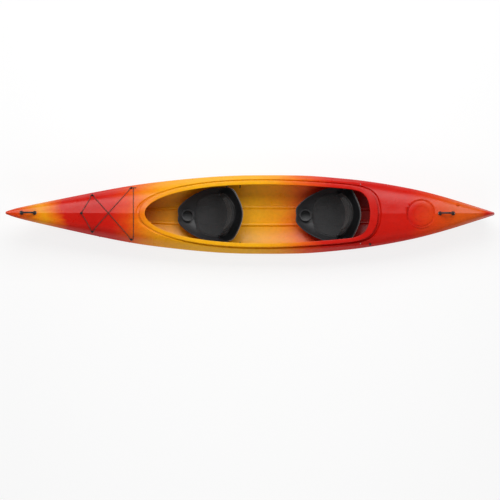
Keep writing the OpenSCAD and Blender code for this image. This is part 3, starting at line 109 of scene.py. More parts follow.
BREADTH, KEEL, SEAM, CROWN, BEVEL = (smooth_curve(LINES, c) for c in range(1, 6))
RIM = smooth_curve(RIM_LINES)


def half_breadth(x):
    return BEAM / 2 * BREADTH(np.asarray(x) / HULL_LEN)


def keel_z(x):
    x = np.asarray(x, float)
    return KEEL(x / HULL_LEN) * np.where(x < 0, STEM_FOOT_H, STERN_FOOT_H)


def seam_z(x):
    x = np.asarray(x, float)
    return SEAM_H + SEAM(x / HULL_LEN) * (np.where(x < 0, BOW_SEAM_H, STERN_SEAM_H) - SEAM_H)


def ridge_z(x):
    return seam_z(x) + CROWN_H * CROWN(np.asarray(x) / HULL_LEN)


def bevel_top_z(x):
    return seam_z(x) + BEVEL_H * BEVEL(np.asarray(x) / HULL_LEN)


def bevel_top_y(x):
    b = half_breadth(x)
    return b - np.minimum(BEVEL_W * BEVEL(np.asarray(x) / HULL_LEN), 0.35 * b)


# Share and power of the deck's fall from its ridge to the top of the bevel
KNEE_K, KNEE_N = 0.3, 5


def knee(u):
    return 1 - KNEE_K * u - (1 - KNEE_K) * np.power(u, KNEE_N)


CROSS_GROOVE_X, CROSS_GROOVE_W = 1290.0, 15.0
CROSS_GROOVE_REACH, CROSS_GROOVE_DEPTH, CROSS_GROOVE_FADE = 125.0, 4.0, 1.6


def cross_groove(x, y):
    """Depth of the shallow groove moulded across the aft deck."""
    across = np.clip(1 - np.abs((x - CROSS_GROOVE_X) / CROSS_GROOVE_W), 0, 1)
    along = np.clip(CROSS_GROOVE_FADE * (1 - np.abs(y) / CROSS_GROOVE_REACH), 0, 1)
    return CROSS_GROOVE_DEPTH * across ** 2 * (3 - 2 * across) * along


def deck_z(x, y):
    yb, b, a = bevel_top_y(x), half_breadth(x), np.abs(y)
    top = bevel_top_z(x) + (ridge_z(x) - bevel_top_z(x)) * knee(np.minimum(a / yb, 1))
    side = lerp(bevel_top_z(x), seam_z(x), (a - yb) / (b - yb))
    return np.where(a <= yb, top, side)


# How far the inner face lies from the outer one, in walls: down at the bevel and ridge, in at the bevel
INNER_BEVEL_DROP, INNER_RIDGE_DROP, INNER_BEVEL_IN = 0.8, 1.05, 0.6


def deck_point(x, u, t):
    zb, zr = bevel_top_z(x) - INNER_BEVEL_DROP * t, ridge_z(x) - INNER_RIDGE_DROP * t
    y = u * (bevel_top_y(x) - INNER_BEVEL_IN * t)
    z = zb + (zr - zb) * knee(u)
    return np.stack([x, y, z - cross_groove(x, y)], -1)


# Stations along the seam and the matching places along the opening, now in fine steps
N_FORE, N_MID, N_AFT = 16, 12, 16
N_STA = N_FORE + N_MID + N_AFT
FORE_JOIN, AFT_JOIN = -OPEN_FRONT + 150, OPEN_REAR - 185
SEAM_CROWDING, OPEN_CROWDING, OPEN_JOIN_SHIFT = 1.8, 2, 30
FINE = 7


def seam_x(k):
    return np.where(
        k <= N_FORE,
        -HALF_LEN + (FORE_JOIN + HALF_LEN) * np.power(np.maximum(k, 0) / N_FORE, SEAM_CROWDING),
        np.where(k <= N_FORE + N_MID, lerp(FORE_JOIN, AFT_JOIN, (k - N_FORE) / N_MID),
                 HALF_LEN - (HALF_LEN - AFT_JOIN)
                 * np.power(np.maximum(N_STA - k, 0) / N_AFT, SEAM_CROWDING)))


def open_x(k):
    join_x = FORE_JOIN + OPEN_JOIN_SHIFT
    return np.where(
        k <= N_FORE, -OPEN_FRONT + (join_x + OPEN_FRONT) * np.power(k / N_FORE, OPEN_CROWDING),
        np.where(k <= N_FORE + N_MID, lerp(join_x, AFT_JOIN, (k - N_FORE) / N_MID),
                 OPEN_REAR - (OPEN_REAR - AFT_JOIN) * np.power((N_STA - k) / N_AFT, OPEN_CROWDING)))


OPEN_WIDE_X, REAR_TAPER = 150.0, 61.0
FRONT_POWER, REAR_TAPER_POWER, REAR_POWER = 2.3, 1.6, 18


def open_w(x):
    fore = np.clip((OPEN_WIDE_X - x) / (OPEN_WIDE_X + OPEN_FRONT), 0, 1)
    aft = np.clip((x - OPEN_WIDE_X) / (OPEN_REAR - OPEN_WIDE_X), 0, 1)
    front = OPEN_HALF * np.sqrt(np.maximum(0, 1 - np.power(fore, FRONT_POWER)))
    rear_half = OPEN_HALF - REAR_TAPER * np.power(aft, REAR_TAPER_POWER)
    rear = rear_half * np.sqrt(np.maximum(0, 1 - np.power(aft, REAR_POWER)))
    return np.where(x < OPEN_WIDE_X, front, rear)


def open_pt(k):
    inside = np.clip(np.where(k < 0, -k, np.where(k > N_STA, 2 * N_STA - k, k)), 0, N_STA)
    side = np.where((k < 0) | (k > N_STA), -1.0, 1.0)
    x = open_x(inside)
    return np.stack([x, side * open_w(x)], -1)


def open_normal(k):
    t = open_pt(k + 1) - open_pt(k - 1)
    return np.stack([-t[..., 1], t[..., 0]], -1) / np.linalg.norm(t, axis=-1, keepdims=True)


def around(n, side, front, rear):
    return side + (np.where(n[..., 0] < 0, front, rear) - side) * n[..., 0] ** 2


def rim_z(x):
    return seam_z(x) + RIM_H * RIM((x + OPEN_FRONT) / (OPEN_FRONT + OPEN_REAR))


BOW_FILL, STERN_FILL, FILL_POWER = 90.0, 260.0, 6


def inner_x(x):
    """The place along the boat where the inner skin meets station x: the ends are solid."""
    return x - np.where(x < 0, -BOW_FILL, STERN_FILL) * np.power(np.abs(x) / HALF_LEN, FILL_POWER)


def tip_round(k):
    """Share of the breadth left at station k: the first and last steps close in a quarter circle."""
    near = np.minimum(k, N_STA - k)
    return np.where(near >= 1, 1.0, np.sqrt(np.maximum(0, 1 - (1 - np.minimum(near, 1)) ** 2)))


END_STEPS = np.array([0, 0.03, 0.1, 0.22, 0.4, 0.65])
stations = np.concatenate([END_STEPS, np.arange(FINE, (N_STA - 1) * FINE + 1) / FINE,
                           N_STA - END_STEPS[::-1]])


# Meshes and materials
def link(mesh, name, body, material):
    obj = bpy.data.objects.new(name, mesh)
    bpy.context.scene.collection.objects.link(obj)
    obj.data.materials.append(material)
    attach(obj, body)
    return obj


def make_mesh(name, points, faces, sharp_deg=35, weld=0.02):
    """A closed mesh from points in millimetres, welded, smooth but for its edges."""
    mesh = bpy.data.meshes.new(name)
    mesh.from_pydata((np.asarray(points, float).reshape(-1, 3) * MM).tolist(), [], list(faces))
    bm = bmesh.new()
    bm.from_mesh(mesh)
    bmesh.ops.remove_doubles(bm, verts=bm.verts, dist=weld * MM)
    bmesh.ops.dissolve_degenerate(bm, edges=bm.edges, dist=1e-7)
    bmesh.ops.recalc_face_normals(bm, faces=bm.faces)
    for f in bm.faces:
        f.smooth = True
    bm.to_mesh(mesh)
    bm.free()
    if sharp_deg:
        mesh.set_sharp_from_angle(angle=math.radians(sharp_deg))
    return mesh


def grid_faces(rows, cols, close_rows=False, close_cols=False, first=0):
    r = np.arange(rows if close_rows else rows - 1)
    c = np.arange(cols if close_cols else cols - 1)
    r, c = (m.ravel() for m in np.meshgrid(r, c, indexing="ij"))
    r2, c2 = (r + 1) % rows, (c + 1) % cols
    return (first + np.stack([r * cols + c, r * cols + c2, r2 * cols + c2, r2 * cols + c], 1)).tolist()


def rounded(line, corners, steps=4):
    """Rounds the named points of rows of polylines (rows, points, 3) with short quadratic arcs."""
    out = []
    for j in range(line.shape[1]):
        p = line[:, j]
        if j not in corners:
            out.append(p)
            continue
        to_a, to_b = line[:, j - 1] - p, line[:, j + 1] - p
        la = np.linalg.norm(to_a, axis=1, keepdims=True)
        lb = np.linalg.norm(to_b, axis=1, keepdims=True)
        reach = np.minimum(corners[j], 0.45 * np.minimum(la, lb))
        a, b = p + to_a / np.maximum(la, 1e-6) * reach, p + to_b / np.maximum(lb, 1e-6) * reach
        for s in np.linspace(0, 1, steps + 1):
            out.append((1 - s) ** 2 * a + 2 * s * (1 - s) * p + s * s * b)
    return np.stack(out, 1)


def apply_modifiers(obj):
    graph = bpy.context.evaluated_depsgraph_get()
    mesh = bpy.data.meshes.new_from_object(obj.evaluated_get(graph), depsgraph=graph)
    obj.modifiers.clear()
    obj.data = mesh


def combine(obj, mesh, operation):
    other = bpy.data.objects.new("tool", mesh)
    bpy.context.scene.collection.objects.link(other)
    step = obj.modifiers.new(operation, "BOOLEAN")
    step.operation, step.solver, step.object = operation, "MANIFOLD", other
    apply_modifiers(obj)
    bpy.data.objects.remove(other)


def join(obj, others):
    with bpy.context.temp_override(active_object=obj, selected_editable_objects=[obj, *others]):
        bpy.ops.object.join()


def srgb(r, g, b):
    """An sRGB colour from 0 to 255, as the linear colour that a node takes."""
    return tuple(((c / 255 + 0.055) / 1.055) ** 2.4 if c > 10 else c / 255 / 12.92
                 for c in (r, g, b)) + (1.0,)


class Shader:
    """A node material with short calls for the nodes used here. Scales are per metre."""

    def __init__(self, name):
        self.material = bpy.data.materials.new(name)
        self.material.use_nodes = True
        self.nodes, self.links = self.material.node_tree.nodes, self.material.node_tree.links
        self.bsdf = self.nodes["Principled BSDF"]
        self.place = self.new("ShaderNodeTexCoord").outputs["Object"]

    def new(self, kind, inputs=(), **settings):
        node = self.nodes.new(kind)
        for key, value in settings.items():
            setattr(node, key, value)
        for key, value in dict(inputs).items():
            if isinstance(value, bpy.types.NodeSocket):
                self.links.new(value, node.inputs[key])
            else:
                node.inputs[key].default_value = value
        return node

    def scaled(self, x, y, z):
        return self.new("ShaderNodeMapping", {"Vector": self.place, "Scale": (x, y, z)}).outputs[0]

    def noise(self, scale, detail=3.0, rough=0.55, at=None):
        return self.new("ShaderNodeTexNoise", {
            "Vector": at or self.place, "Scale": scale,
            "Detail": detail, "Roughness": rough}).outputs["Fac"]

    def cells(self, scale):
        return self.new("ShaderNodeTexVoronoi", {"Vector": self.place, "Scale": scale}).outputs["Distance"]

    def waves(self, scale, direction):
        return self.new("ShaderNodeTexWave", {"Vector": self.place, "Scale": scale},
                        bands_direction=direction).outputs["Fac"]

    def math(self, operation, a, b=0.0):
        return self.new("ShaderNodeMath", {0: a, 1: b}, operation=operation).outputs[0]

    def span(self, value, low, high, to_low=0.0, to_high=1.0):
        return self.new("ShaderNodeMapRange", {
            "Value": value, "From Min": low, "From Max": high,
            "To Min": to_low, "To Max": to_high}).outputs[0]

    def ramp(self, value, stops):
        node = self.new("ShaderNodeValToRGB", {"Fac": value})
        ramp = node.color_ramp
        while len(ramp.elements) < len(stops):
            ramp.elements.new(0.5)
        for element, (place, colour) in zip(ramp.elements, stops):
            element.position = place
        for element, (place, colour) in zip(ramp.elements, stops):
            element.color = colour
        return node.outputs["Color"]

    def mix(self, share, a, b, blend="MIX"):
        node = self.new("ShaderNodeMix", data_type="RGBA", blend_type=blend)
        for socket, value in ((node.inputs[0], share), (node.inputs[6], a), (node.inputs[7], b)):
            if isinstance(value, bpy.types.NodeSocket):
                self.links.new(value, socket)
            else:
                socket.default_value = value
        return node.outputs[2]

    def bump(self, height, distance, strength=1.0, after=None):
        inputs = {"Height": height, "Distance": distance, "Strength": strength}
        if after is not None:
            inputs["Normal"] = after
        return self.new("ShaderNodeBump", inputs).outputs["Normal"]

    def finish(self, colour=None, rough=None, normal=None, **fixed):
        for key, value in (("Base Color", colour), ("Roughness", rough), ("Normal", normal)):
            if value is None:
                continue
            if isinstance(value, bpy.types.NodeSocket):
                self.links.new(value, self.bsdf.inputs[key])
            else:
                self.bsdf.inputs[key].default_value = value
        for key, value in fixed.items():
            self.bsdf.inputs[key.replace("_", " ")].default_value = value
        return self.material


# Colours along the boat, from bow to stern, at places in millimetres
RED, DEEP_RED, ORANGE_RED = srgb(200, 20, 2), srgb(190, 12, 1), srgb(214, 60, 4)
ORANGE, AMBER, GOLD, TAIL = srgb(226, 104, 4), srgb(234, 150, 3), srgb(236, 168, 5), srgb(216, 84, 8)
COLOUR_STOPS = [
    (-2210, ORANGE_RED), (-2130, ORANGE_RED), (-2030, ORANGE), (-1880, AMBER), (-1760, ORANGE),
    (-1660, RED), (-1400, DEEP_RED), (-1260, RED), (-1130, ORANGE_RED), (-1010, ORANGE),
    (-820, AMBER), (-500, GOLD), (60, GOLD), (260, AMBER), (420, ORANGE), (560, ORANGE_RED),
    (700, RED), (1000, DEEP_RED), (1450, RED), (1680, ORANGE_RED), (1900, TAIL), (2080, TAIL),
    (2140, ORANGE_RED), (2185, RED),
]


def boat_plastic():
    s = Shader("boat_plastic")
    x = s.new("ShaderNodeSeparateXYZ", {"Vector": s.place}).outputs["X"]
    streaks = s.noise(1.0, 5, 0.6, s.scaled(2.2, 7, 7))
    wander = s.span(streaks, 0.25, 0.75, -0.075, 0.075)
    along = s.span(s.math("ADD", x, wander), -HALF_LEN * MM, HALF_LEN * MM)
    stops = [((p + HALF_LEN) / HULL_LEN, c) for p, c in COLOUR_STOPS]
    colour = s.ramp(along, stops)
    mottle = s.span(s.noise(38, 4), 0.3, 0.7, 0.93, 1.05)
    grey = s.new("ShaderNodeCombineColor", {0: mottle, 1: mottle, 2: mottle}).outputs[0]
    colour = s.mix(1.0, colour, grey, "MULTIPLY")
    scuffs = s.span(s.noise(1.0, 6, 0.7, s.scaled(9, 260, 260)), 0.62, 0.78, 0, 0.35)
    height = s.new("ShaderNodeSeparateXYZ", {"Vector": s.place}).outputs["Z"]
    low = s.span(height, 0.03, 0.1, 1.0, 0.0)
    colour = s.mix(s.math("MULTIPLY", scuffs, low), colour, srgb(235, 205, 170))
    rough = s.span(s.noise(14, 5), 0.3, 0.7, 0.26, 0.36)
    peel = s.bump(s.noise(420, 2), 0.0002, 0.35)
    return s.finish(colour, rough, s.bump(s.noise(9, 2), 0.0012, 0.35, peel), Specular_IOR_Level=0.26)


def moulded_black(name, colour=(22, 22, 24), grain=900, rough=(0.38, 0.52)):
    s = Shader(name)
    tone = s.span(s.noise(60, 4), 0.3, 0.7, 0.0, 1.0)
    base = s.mix(tone, srgb(*colour), srgb(*(c + 9 for c in colour)))
    pits = s.cells(grain)
    normal = s.bump(pits, 0.00025, 0.5)
    return s.finish(base, s.span(s.noise(30, 4), 0.3, 0.7, *rough), normal)


# tone darkens the whole cloth; the backrest pads' darker copy made with it is painted shade
def pad_cloth(name="pad_cloth", tone=1.0):
    def grey(r, g, b):
        return srgb(r * tone, g * tone, b * tone)
    s = Shader(name)
    mottle = s.span(s.noise(95, 5, 0.7), 0.35, 0.65, 0, 1)
    drift = s.span(s.noise(7, 3), 0.35, 0.65, 0, 1)
    base = s.mix(mottle, grey(34, 35, 36), grey(50, 51, 52))
    base = s.mix(s.math("MULTIPLY", drift, 0.5), base, grey(56, 56, 58))
    weave = s.math("MULTIPLY", s.waves(560, "X"), s.waves(560, "Y"))
    normal = s.bump(s.math("ADD", weave, s.math("MULTIPLY", s.noise(300, 2), 0.6)), 0.0005, 0.7)
    return s.finish(base, 0.86, normal, Sheen_Weight=0.08, Sheen_Roughness=0.5)


def webbing():
    s = Shader("webbing")
    ribs = s.waves(900, "Z")
    base = s.mix(ribs, srgb(116, 116, 114), srgb(168, 168, 164))
    return s.finish(base, 0.75, s.bump(ribs, 0.0003, 0.6), Sheen_Weight=0.2)


def cord_sheath():
    s = Shader("cord_sheath")
    fleck = s.span(s.cells(480), 0.25, 0.5, 0, 1)
    base = s.mix(fleck, srgb(34, 26, 22), srgb(72, 54, 44))
    return s.finish(base, 0.7, s.bump(s.cells(700), 0.0005, 0.8))


def metal(name, colour, rough):
    s = Shader(name)
    brushed = s.noise(1.0, 4, 0.6, s.scaled(900, 60, 60))
    return s.finish(srgb(*colour), s.span(brushed, 0.3, 0.7, rough, rough + 0.16),
                    s.bump(brushed, 0.00008, 0.4), Metallic=1.0)


def rubber(name, colour):
    s = Shader(name)
    return s.finish(s.mix(s.noise(80, 3), srgb(*colour), srgb(*(c + 14 for c in colour))), 0.7,
                    s.bump(s.noise(500, 3), 0.0003, 0.5))


def closed_cell_foam():
    s = Shader("closed_cell_foam")
    cells = s.cells(330)
    base = s.mix(s.span(s.noise(20, 4), 0.3, 0.7), srgb(206, 207, 206), srgb(226, 227, 226))
    return s.finish(base, 0.88, s.bump(cells, 0.0009, 0.6))


BOAT = boat_plastic()
BLACK = moulded_black("moulded_black")
SEAT = moulded_black("seat_plastic", (28, 29, 31), 1300, (0.42, 0.55))
CLOTH = pad_cloth(tone=0.88)
# A darker copy of the pad cloth for the backrest pads: painted shade, standing in for the shade on the
# backrest's face
SHADED_BACK_CLOTH = pad_cloth("back_cloth_painted_shade", 0.55)
WEB = webbing()
SHEATH = cord_sheath()
STEEL = metal("stainless_steel", (196, 197, 199), 0.22)
BLACKENED = metal("blackened_steel", (46, 46, 48), 0.3)
RAIL = metal("anodised_rail", (150, 152, 156), 0.34)
SEAL = rubber("seal_rubber", (40, 40, 41))
RUNNER = rubber("runner_rubber", (52, 53, 55))
FOAM = closed_cell_foam()


# The hull: outer and inner skins that meet at the seam
FLAT_ANGLE, CHANNEL_ANGLE = 4.6, 13
# Angle on the section and share of the channel's depth there
SECTION = [(90, 0), (CHANNEL_ANGLE, 0), (8.9, 0), (8.2, 0.45), (7.7, 0.85), (6.6, 1), (5.6, 0.85),
           (5.1, 0.45), (FLAT_ANGLE, 0)]
angles = np.concatenate([np.linspace(90, CHANNEL_ANGLE, 46)[:-1],
                         np.linspace(CHANNEL_ANGLE, FLAT_ANGLE, 26)])
channel = np.interp(-angles, [-a for a, _ in SECTION], [c for _, c in SECTION])


# Fullness of the section at the ends and amidships: for its height, then for its breadth
RISE_FULLNESS, BREADTH_FULLNESS, FULLNESS_POWER = (1.5, 2.6), (1.7, 2.9), 2.5
INNER_BREADTH_IN = 1.02


def section_exponent(x, fullness):
    return lerp(*fullness, 1 - np.power(np.abs(x) / HALF_LEN, FULLNESS_POWER))


def section_rise(x, cos_a):
    q = section_exponent(x, RISE_FULLNESS)
    z0 = 1 - np.power(math.cos(math.radians(FLAT_ANGLE)), 2 / q)
    return np.maximum(0, (1 - np.power(cos_a, 2 / q) - z0) / (1 - z0))


def hull_skin(k, t):
    """Rows of points of one half section after another, from the starboard seam to the port seam."""
    x = seam_x(k) if t == 0 else inner_x(seam_x(k))
    x, share = x[:, None], tip_round(k)[:, None]
    a = np.radians(angles)[None, :]
    slope = (keel_z(x + 4) - keel_z(x - 4)) / 8
    bottom = keel_z(x) + t * np.sqrt(1 + slope ** 2)
    v = section_rise(x, np.maximum(0, np.cos(a)))
    ramp = np.clip((x - HALF_LEN + TAIL_RAMP_LEN) / TAIL_RAMP_LEN, 0, 1) ** 2
    shift = np.where((v >= 1) | (t > 0), 0, (TAIL_STEP + TRANSOM_RAKE * (1 - v ** 4)) * ramp)
    half = share * (half_breadth(x) - INNER_BREADTH_IN * t)
    y = half * np.power(np.sin(a), 2 / section_exponent(x, BREADTH_FULLNESS))
    fade = np.maximum(0, 1 - np.power(np.abs(x) / CHANNEL_RUN, 4))
    z = bottom + (seam_z(x) - bottom) * v + CHANNEL_DEPTH * channel[None, :] * fade
    side = np.stack([x - shift, y, z], -1)
    return np.concatenate([side, side[:, ::-1] * [1, -1, 1]], 1)


def build_hull():
    outer, inner = hull_skin(stations, 0), hull_skin(stations, WALL)
    loop = np.concatenate([outer, inner[:, ::-1]], 1)
    mesh = make_mesh("hull_shell", loop, grid_faces(*loop.shape[:2], close_cols=True), 40)
    obj = link(mesh, "hull_shell", "kayak", BOAT)
    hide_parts("hull")
    return obj


# The deck: one closed section for each ray from the seam over the coaming and back underneath
SEAM_GAP = 0.3
COAMING_WALL = WALL + 2


def deck_ring(k, sx, f, t, groove):
    u_groove = groove[:, 1] / bevel_top_y(groove[:, 0])
    early = np.maximum(0, 1 - np.minimum(k, N_STA - k) / 7)
    u = lerp(tip_round(k), u_groove, np.power(f, lerp(1, 0.3, early)))
    u = np.where((k == 0) | (k == N_STA), 0, u)
    return deck_point(lerp(sx, groove[:, 0], f), u, t)


def deck_sections(k):
    o, n, sx = open_pt(k), open_normal(k), seam_x(k)
    ix, share = inner_x(sx), tip_round(k)
    at_end = (k == 0) | (k == N_STA)
    lip = around(n, LIP_SIDE, LIP_FRONT, LIP_REAR)
    out = lip + around(n, GROOVE_SIDE, GROOVE_END, GROOVE_END)
    g = o + n * out[:, None]
    gz = deck_z(g[:, 0], g[:, 1]) - around(n, GROOVE_DEPTH, GROOVE_DEPTH, 2 * GROOVE_DEPTH)
    g[:, 1] = np.where(at_end, 0, g[:, 1])
    rz = rim_z(o[:, 0])

    def q(d, z):
        y = np.where(at_end, 0, o[:, 1] + n[:, 1] * d)
        return np.stack([o[:, 0] + n[:, 0] * d, y, z + 0 * d], -1)
    outer_f = np.concatenate([np.linspace(0, 0.3, 14)[:-1], np.linspace(0.3, 0.94, 18), [0.97, 1]])
    inner_f = [1, 0.9, 0.75, 0.55, 0.35, 0.2, 0.1, 0]
    outline = ([np.stack([sx, share * half_breadth(sx), seam_z(sx) + SEAM_GAP], -1)]
               + [deck_ring(k, sx, f, 0, g) for f in outer_f])
    last = len(outline) - 1
    one = np.ones_like(rz)
    outline += [q(out - GROOVE_DEPTH, gz), q(COAMING_WALL * one, gz), q(COAMING_WALL * one, rz - LIP_T),
                q(lip, rz - LIP_T - 2), q(lip, rz), q(0 * one, rz), q(0 * one, gz - WALL),
                q(out - GROOVE_DEPTH - WALL, gz - WALL)]
    outline += [deck_ring(k, ix, f, WALL, g) for f in inner_f]
    inner_half = share * (half_breadth(ix) - INNER_BREADTH_IN * WALL)
    outline += [np.stack([ix, inner_half, seam_z(ix) + SEAM_GAP], -1)]
    # Radii at the bevel's top, the groove's edge and floor, the coaming's foot, under the lip and round it
    corners = {1: 5, last: 5, last + 1: 4, last + 2: 5, last + 3: 3, last + 4: 3, last + 5: 5, last + 6: 4}
    return rounded(np.stack(outline, 1), corners)


def build_deck():
    half = deck_sections(stations)
    sections = np.concatenate([half, half[-2:0:-1] * [1, -1, 1]], 0)
    mesh = make_mesh("deck_shell", sections, grid_faces(*sections.shape[:2], True, True), 32)
    crease_ridge(mesh)
    deck = link(mesh, "deck_shell", "kayak", BOAT)
    cut_hatch(deck)
    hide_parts("bow_deck", "port_side_deck", "starboard_side_deck", "stern_deck")
    return deck


def crease_ridge(mesh):
    """Marks the edges along the ridge as sharp."""
    co = np.zeros(len(mesh.vertices) * 3)
    mesh.vertices.foreach_get("co", co)
    co = co.reshape(-1, 3)
    ends = np.zeros(len(mesh.edges) * 2, int)
    mesh.edges.foreach_get("vertices", ends)
    ends = ends.reshape(-1, 2)
    on_ridge = np.abs(co[:, 1]) < 1e-6
    sharp = mesh.attributes.get("sharp_edge") or mesh.attributes.new("sharp_edge", "BOOLEAN", "EDGE")
    values = np.zeros(len(mesh.edges), bool)
    sharp.data.foreach_get("value", values)
    mid_x = co[ends].mean(1)[:, 0]
    outside = (mid_x < -(OPEN_FRONT + LIP_FRONT) * MM) | (mid_x > (OPEN_REAR + LIP_REAR) * MM)
    sharp.data.foreach_set("value", values | (on_ridge[ends].all(1) & outside))


def cut_hatch(deck):
    """Sinks the round hatch blank: a hole in the deck, filled by a turned insert with its groove."""
    top = float(ridge_z(HATCH_X)) - HATCH_SINK
    hole_r = HATCH_R + HATCH_GROOVE
    turn = np.radians(np.arange(0, 360, 2.5))

    def ring(r, z):
        x, y = HATCH_X + r * np.cos(turn), r * np.sin(turn)
        return np.stack([x, y, z(x, y) if callable(z) else np.full_like(x, z)], -1)
    cut_floor = top - HATCH_STEP - 2.5
    cutter_rows = np.stack([ring(0.01, cut_floor), ring(hole_r, cut_floor),
                            ring(hole_r, top + 60), ring(0.01, top + 60)], 1)
    faces = grid_faces(len(turn), 4, close_rows=True)
    combine(deck, make_mesh("hatch_cutter", cutter_rows, faces, 30, 0.5), "DIFFERENCE")

    def brim(x, y):
        return np.maximum(deck_z(x, y) - WALL / 2, top - 2)

    def foot(x, y):
        return np.minimum(top - 2 * HATCH_STEP, deck_z(x, y) - WALL + 1)
    floor = top - HATCH_STEP
    ring_foot, ring_top, ring_h = 4.5, 2.5, 2
    profile = [
        (0.01, top - 2 * HATCH_STEP), (hole_r + WALL, foot), (hole_r + WALL, brim), (hole_r - 0.05, brim),
        (hole_r - 0.05, floor), (HATCH_R + 0.6, floor), (HATCH_R, floor + 0.8), (HATCH_R, top - 1.8),
        (HATCH_R - 0.6, top - 0.6), (HATCH_R - 2, top), (HATCH_RING_R + ring_foot, top),
        (HATCH_RING_R + ring_top, top + ring_h), (HATCH_RING_R - ring_top, top + ring_h),
        (HATCH_RING_R - ring_foot, top), (0.01, top),
    ]
    rows = np.stack([ring(r, z) for r, z in profile], 1)
    insert = make_mesh("hatch_blank", rows, grid_faces(*rows.shape[:2], close_rows=True), 40, 0.5)
    blank = bpy.data.objects.new("hatch_blank", insert)
    bpy.context.scene.collection.objects.link(blank)
    blank.data.materials.append(BOAT)
    join(deck, [blank])


hull = build_hull()
deck = build_deck()

# The seats: outline and rim height of the bucket, from its front edge back
SEAT_X = {"front": -640.0, "rear": 426.0}
PAN_HALF = [(0, 0), (0, 62), (60, 128), (126, 172), (200, 208), (275, 232), (360, 240), (430, 236),
            (475, 220), (500, 193), (525, 145), (548, 90), (562, 40), (566, 0)]
PAN_RISE = smooth_curve([(0, 0), (60, 0.03), (126, 0.06), (200, 0.15), (275, 0.30), (360, 0.52),
                         (430, 0.78), (475, 0.90), (525, 0.98), (566, 1.00)])
PAN_MID, PAN_POWER, PAN_FLOOR, PAN_T, FLANGE_W = 300.0, 3.2, 42.0, 4.0, 9.0
PAN_FRONT_H, PAN_REAR_H = 112.0, 246.0
CUP_S, CUP_R, CUP_WALL, CUP_TOP, CUP_LOW = 76.0, 44.0, 4.0, 101.0, 34.0
HINGE_S, HINGE_Z, HINGE_R = 364.0, 150.0, 5.0
EYE_Y, EYE_RUN, EYE_WALL = 182.0, 6.0, 7.0
BACK_LOW, BACK_TOP, BACK_S, BACK_LEAN, BACK_SWEEP = 138.0, 411.0, 480.0, 0.24, 80.0
BACK_HALF, BACK_T, BACK_LEVEL, BACK_RECESS, BACK_ROUND = 188.0, 5.0, 292.0, 1.9, 1.6
# Share of the backrest's half width from its foot to its top, and of the bucket that the pad covers
BACK_SHAPE = smooth_curve([(0, 0.93), (0.05, 0.985), (0.2, 1), (0.56, 1), (0.75, 0.87), (0.9, 0.62),
                           (1, 0.28)])
PAD_SHARE = smooth_curve([(0, 0.55), (60, 0.64), (126, 0.80), (200, 0.85), (430, 0.83), (500, 0.76),
                          (566, 0.66)])
STRAP_S, STRAP_RISE, BRACKET_S, WEB_W, WEB_T = 440.0, 26.5, 430.0, 25.0, 2.0


def refined(loop):
    """The closed loop with one smooth point added between each pair."""
    p = np.asarray(loop, float)
    mid = (9 * (p + np.roll(p, -1, 0)) - np.roll(p, 1, 0) - np.roll(p, -2, 0)) / 16
    return np.stack([p, mid], 1).reshape(-1, 2)


PAN_LOOP = refined(refined(refined(PAN_HALF + [(s, -y) for s, y in PAN_HALF[-2:0:-1]])))


def pan_rim_z(s):
    return lerp(PAN_FRONT_H, PAN_REAR_H, PAN_RISE(s))


def pan_ring(g, t=0.0, out=0.0, down=0.0):
    """A ring of the bucket at share g of its reach, t under the top face."""
    v = PAN_LOOP - [PAN_MID, 0]
    reach = np.linalg.norm(v, axis=1)
    rise = pan_rim_z(PAN_LOOP[:, 0]) - PAN_FLOOR
    slope = rise * PAN_POWER * g ** (PAN_POWER - 1) / reach
    n = np.sqrt(slope ** 2 + 1)
    r = (g * reach + t * slope / n + out) / reach
    z = PAN_FLOOR + rise * g ** PAN_POWER - t / n - down
    return np.stack([PAN_MID + v[:, 0] * r, v[:, 1] * r, z], -1)


def lathe(profile, centre, steps=96):
    turn = np.linspace(0, 2 * math.pi, steps, endpoint=False)[:, None]
    r, z = np.array(profile, float).T
    x, y = centre[0] + r * np.cos(turn), centre[1] + r * np.sin(turn)
    return np.stack([x, y, centre[2] + z + 0 * turn], -1)


def tube_mesh(name, rows, sharp_deg=35):
    """A closed mesh from rows that close on themselves, with a pole at each end."""
    return make_mesh(name, rows, grid_faces(*rows.shape[:2], close_rows=True), sharp_deg)


def build_pan(seat):
    """The bucket with its rolled flange and the cup holder moulded into its front."""
    top = [pan_ring(g) for g in np.linspace(0, 1, 30)]
    edge = [pan_ring(1, 0, out, down) for out, down in
            ((FLANGE_W - 2, 0), (FLANGE_W - 0.6, 0.5), (FLANGE_W, 1.5), (FLANGE_W, PAN_T - 0.8),
             (FLANGE_W - 0.8, PAN_T))]
    under = [pan_ring(g, PAN_T) for g in np.linspace(0.96, 0, 26)]
    rows = np.stack(top + edge + under, 1) + [SEAT_X[seat], 0, 0]
    name = seat + "_pan_shell"
    pan = link(tube_mesh(name, rows), name, "kayak", SEAT)
    at = (SEAT_X[seat] + CUP_S, 0, 0)
    r = CUP_R + CUP_WALL
    cup = [(0, CUP_LOW), (r - 3, CUP_LOW), (r - 0.9, CUP_LOW + 0.9), (r, CUP_LOW + 3), (r, CUP_TOP - 8),
           (r + 1.5, CUP_TOP - 5.6), (r + 3, CUP_TOP - 5), (r + 6.2, CUP_TOP - 5), (r + 7, CUP_TOP - 4),
           (r + 6.6, CUP_TOP - 1.4), (r + 5, CUP_TOP), (0, CUP_TOP)]
    combine(pan, tube_mesh("cup", lathe(cup, at)), "UNION")
    base = CUP_LOW + CUP_WALL
    bore = [(0, base), (CUP_R - 4, base), (CUP_R - 1.2, base + 1.2),
            (CUP_R, base + 4), (CUP_R, CUP_TOP - 2), (CUP_R + 0.7, CUP_TOP - 0.6),
            (CUP_R + 2, CUP_TOP), (CUP_R + 2.2, CUP_TOP + 30), (0, CUP_TOP + 30)]
    combine(pan, tube_mesh("bore", lathe(bore, at)), "DIFFERENCE")
    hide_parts(seat + "_seat_pan")


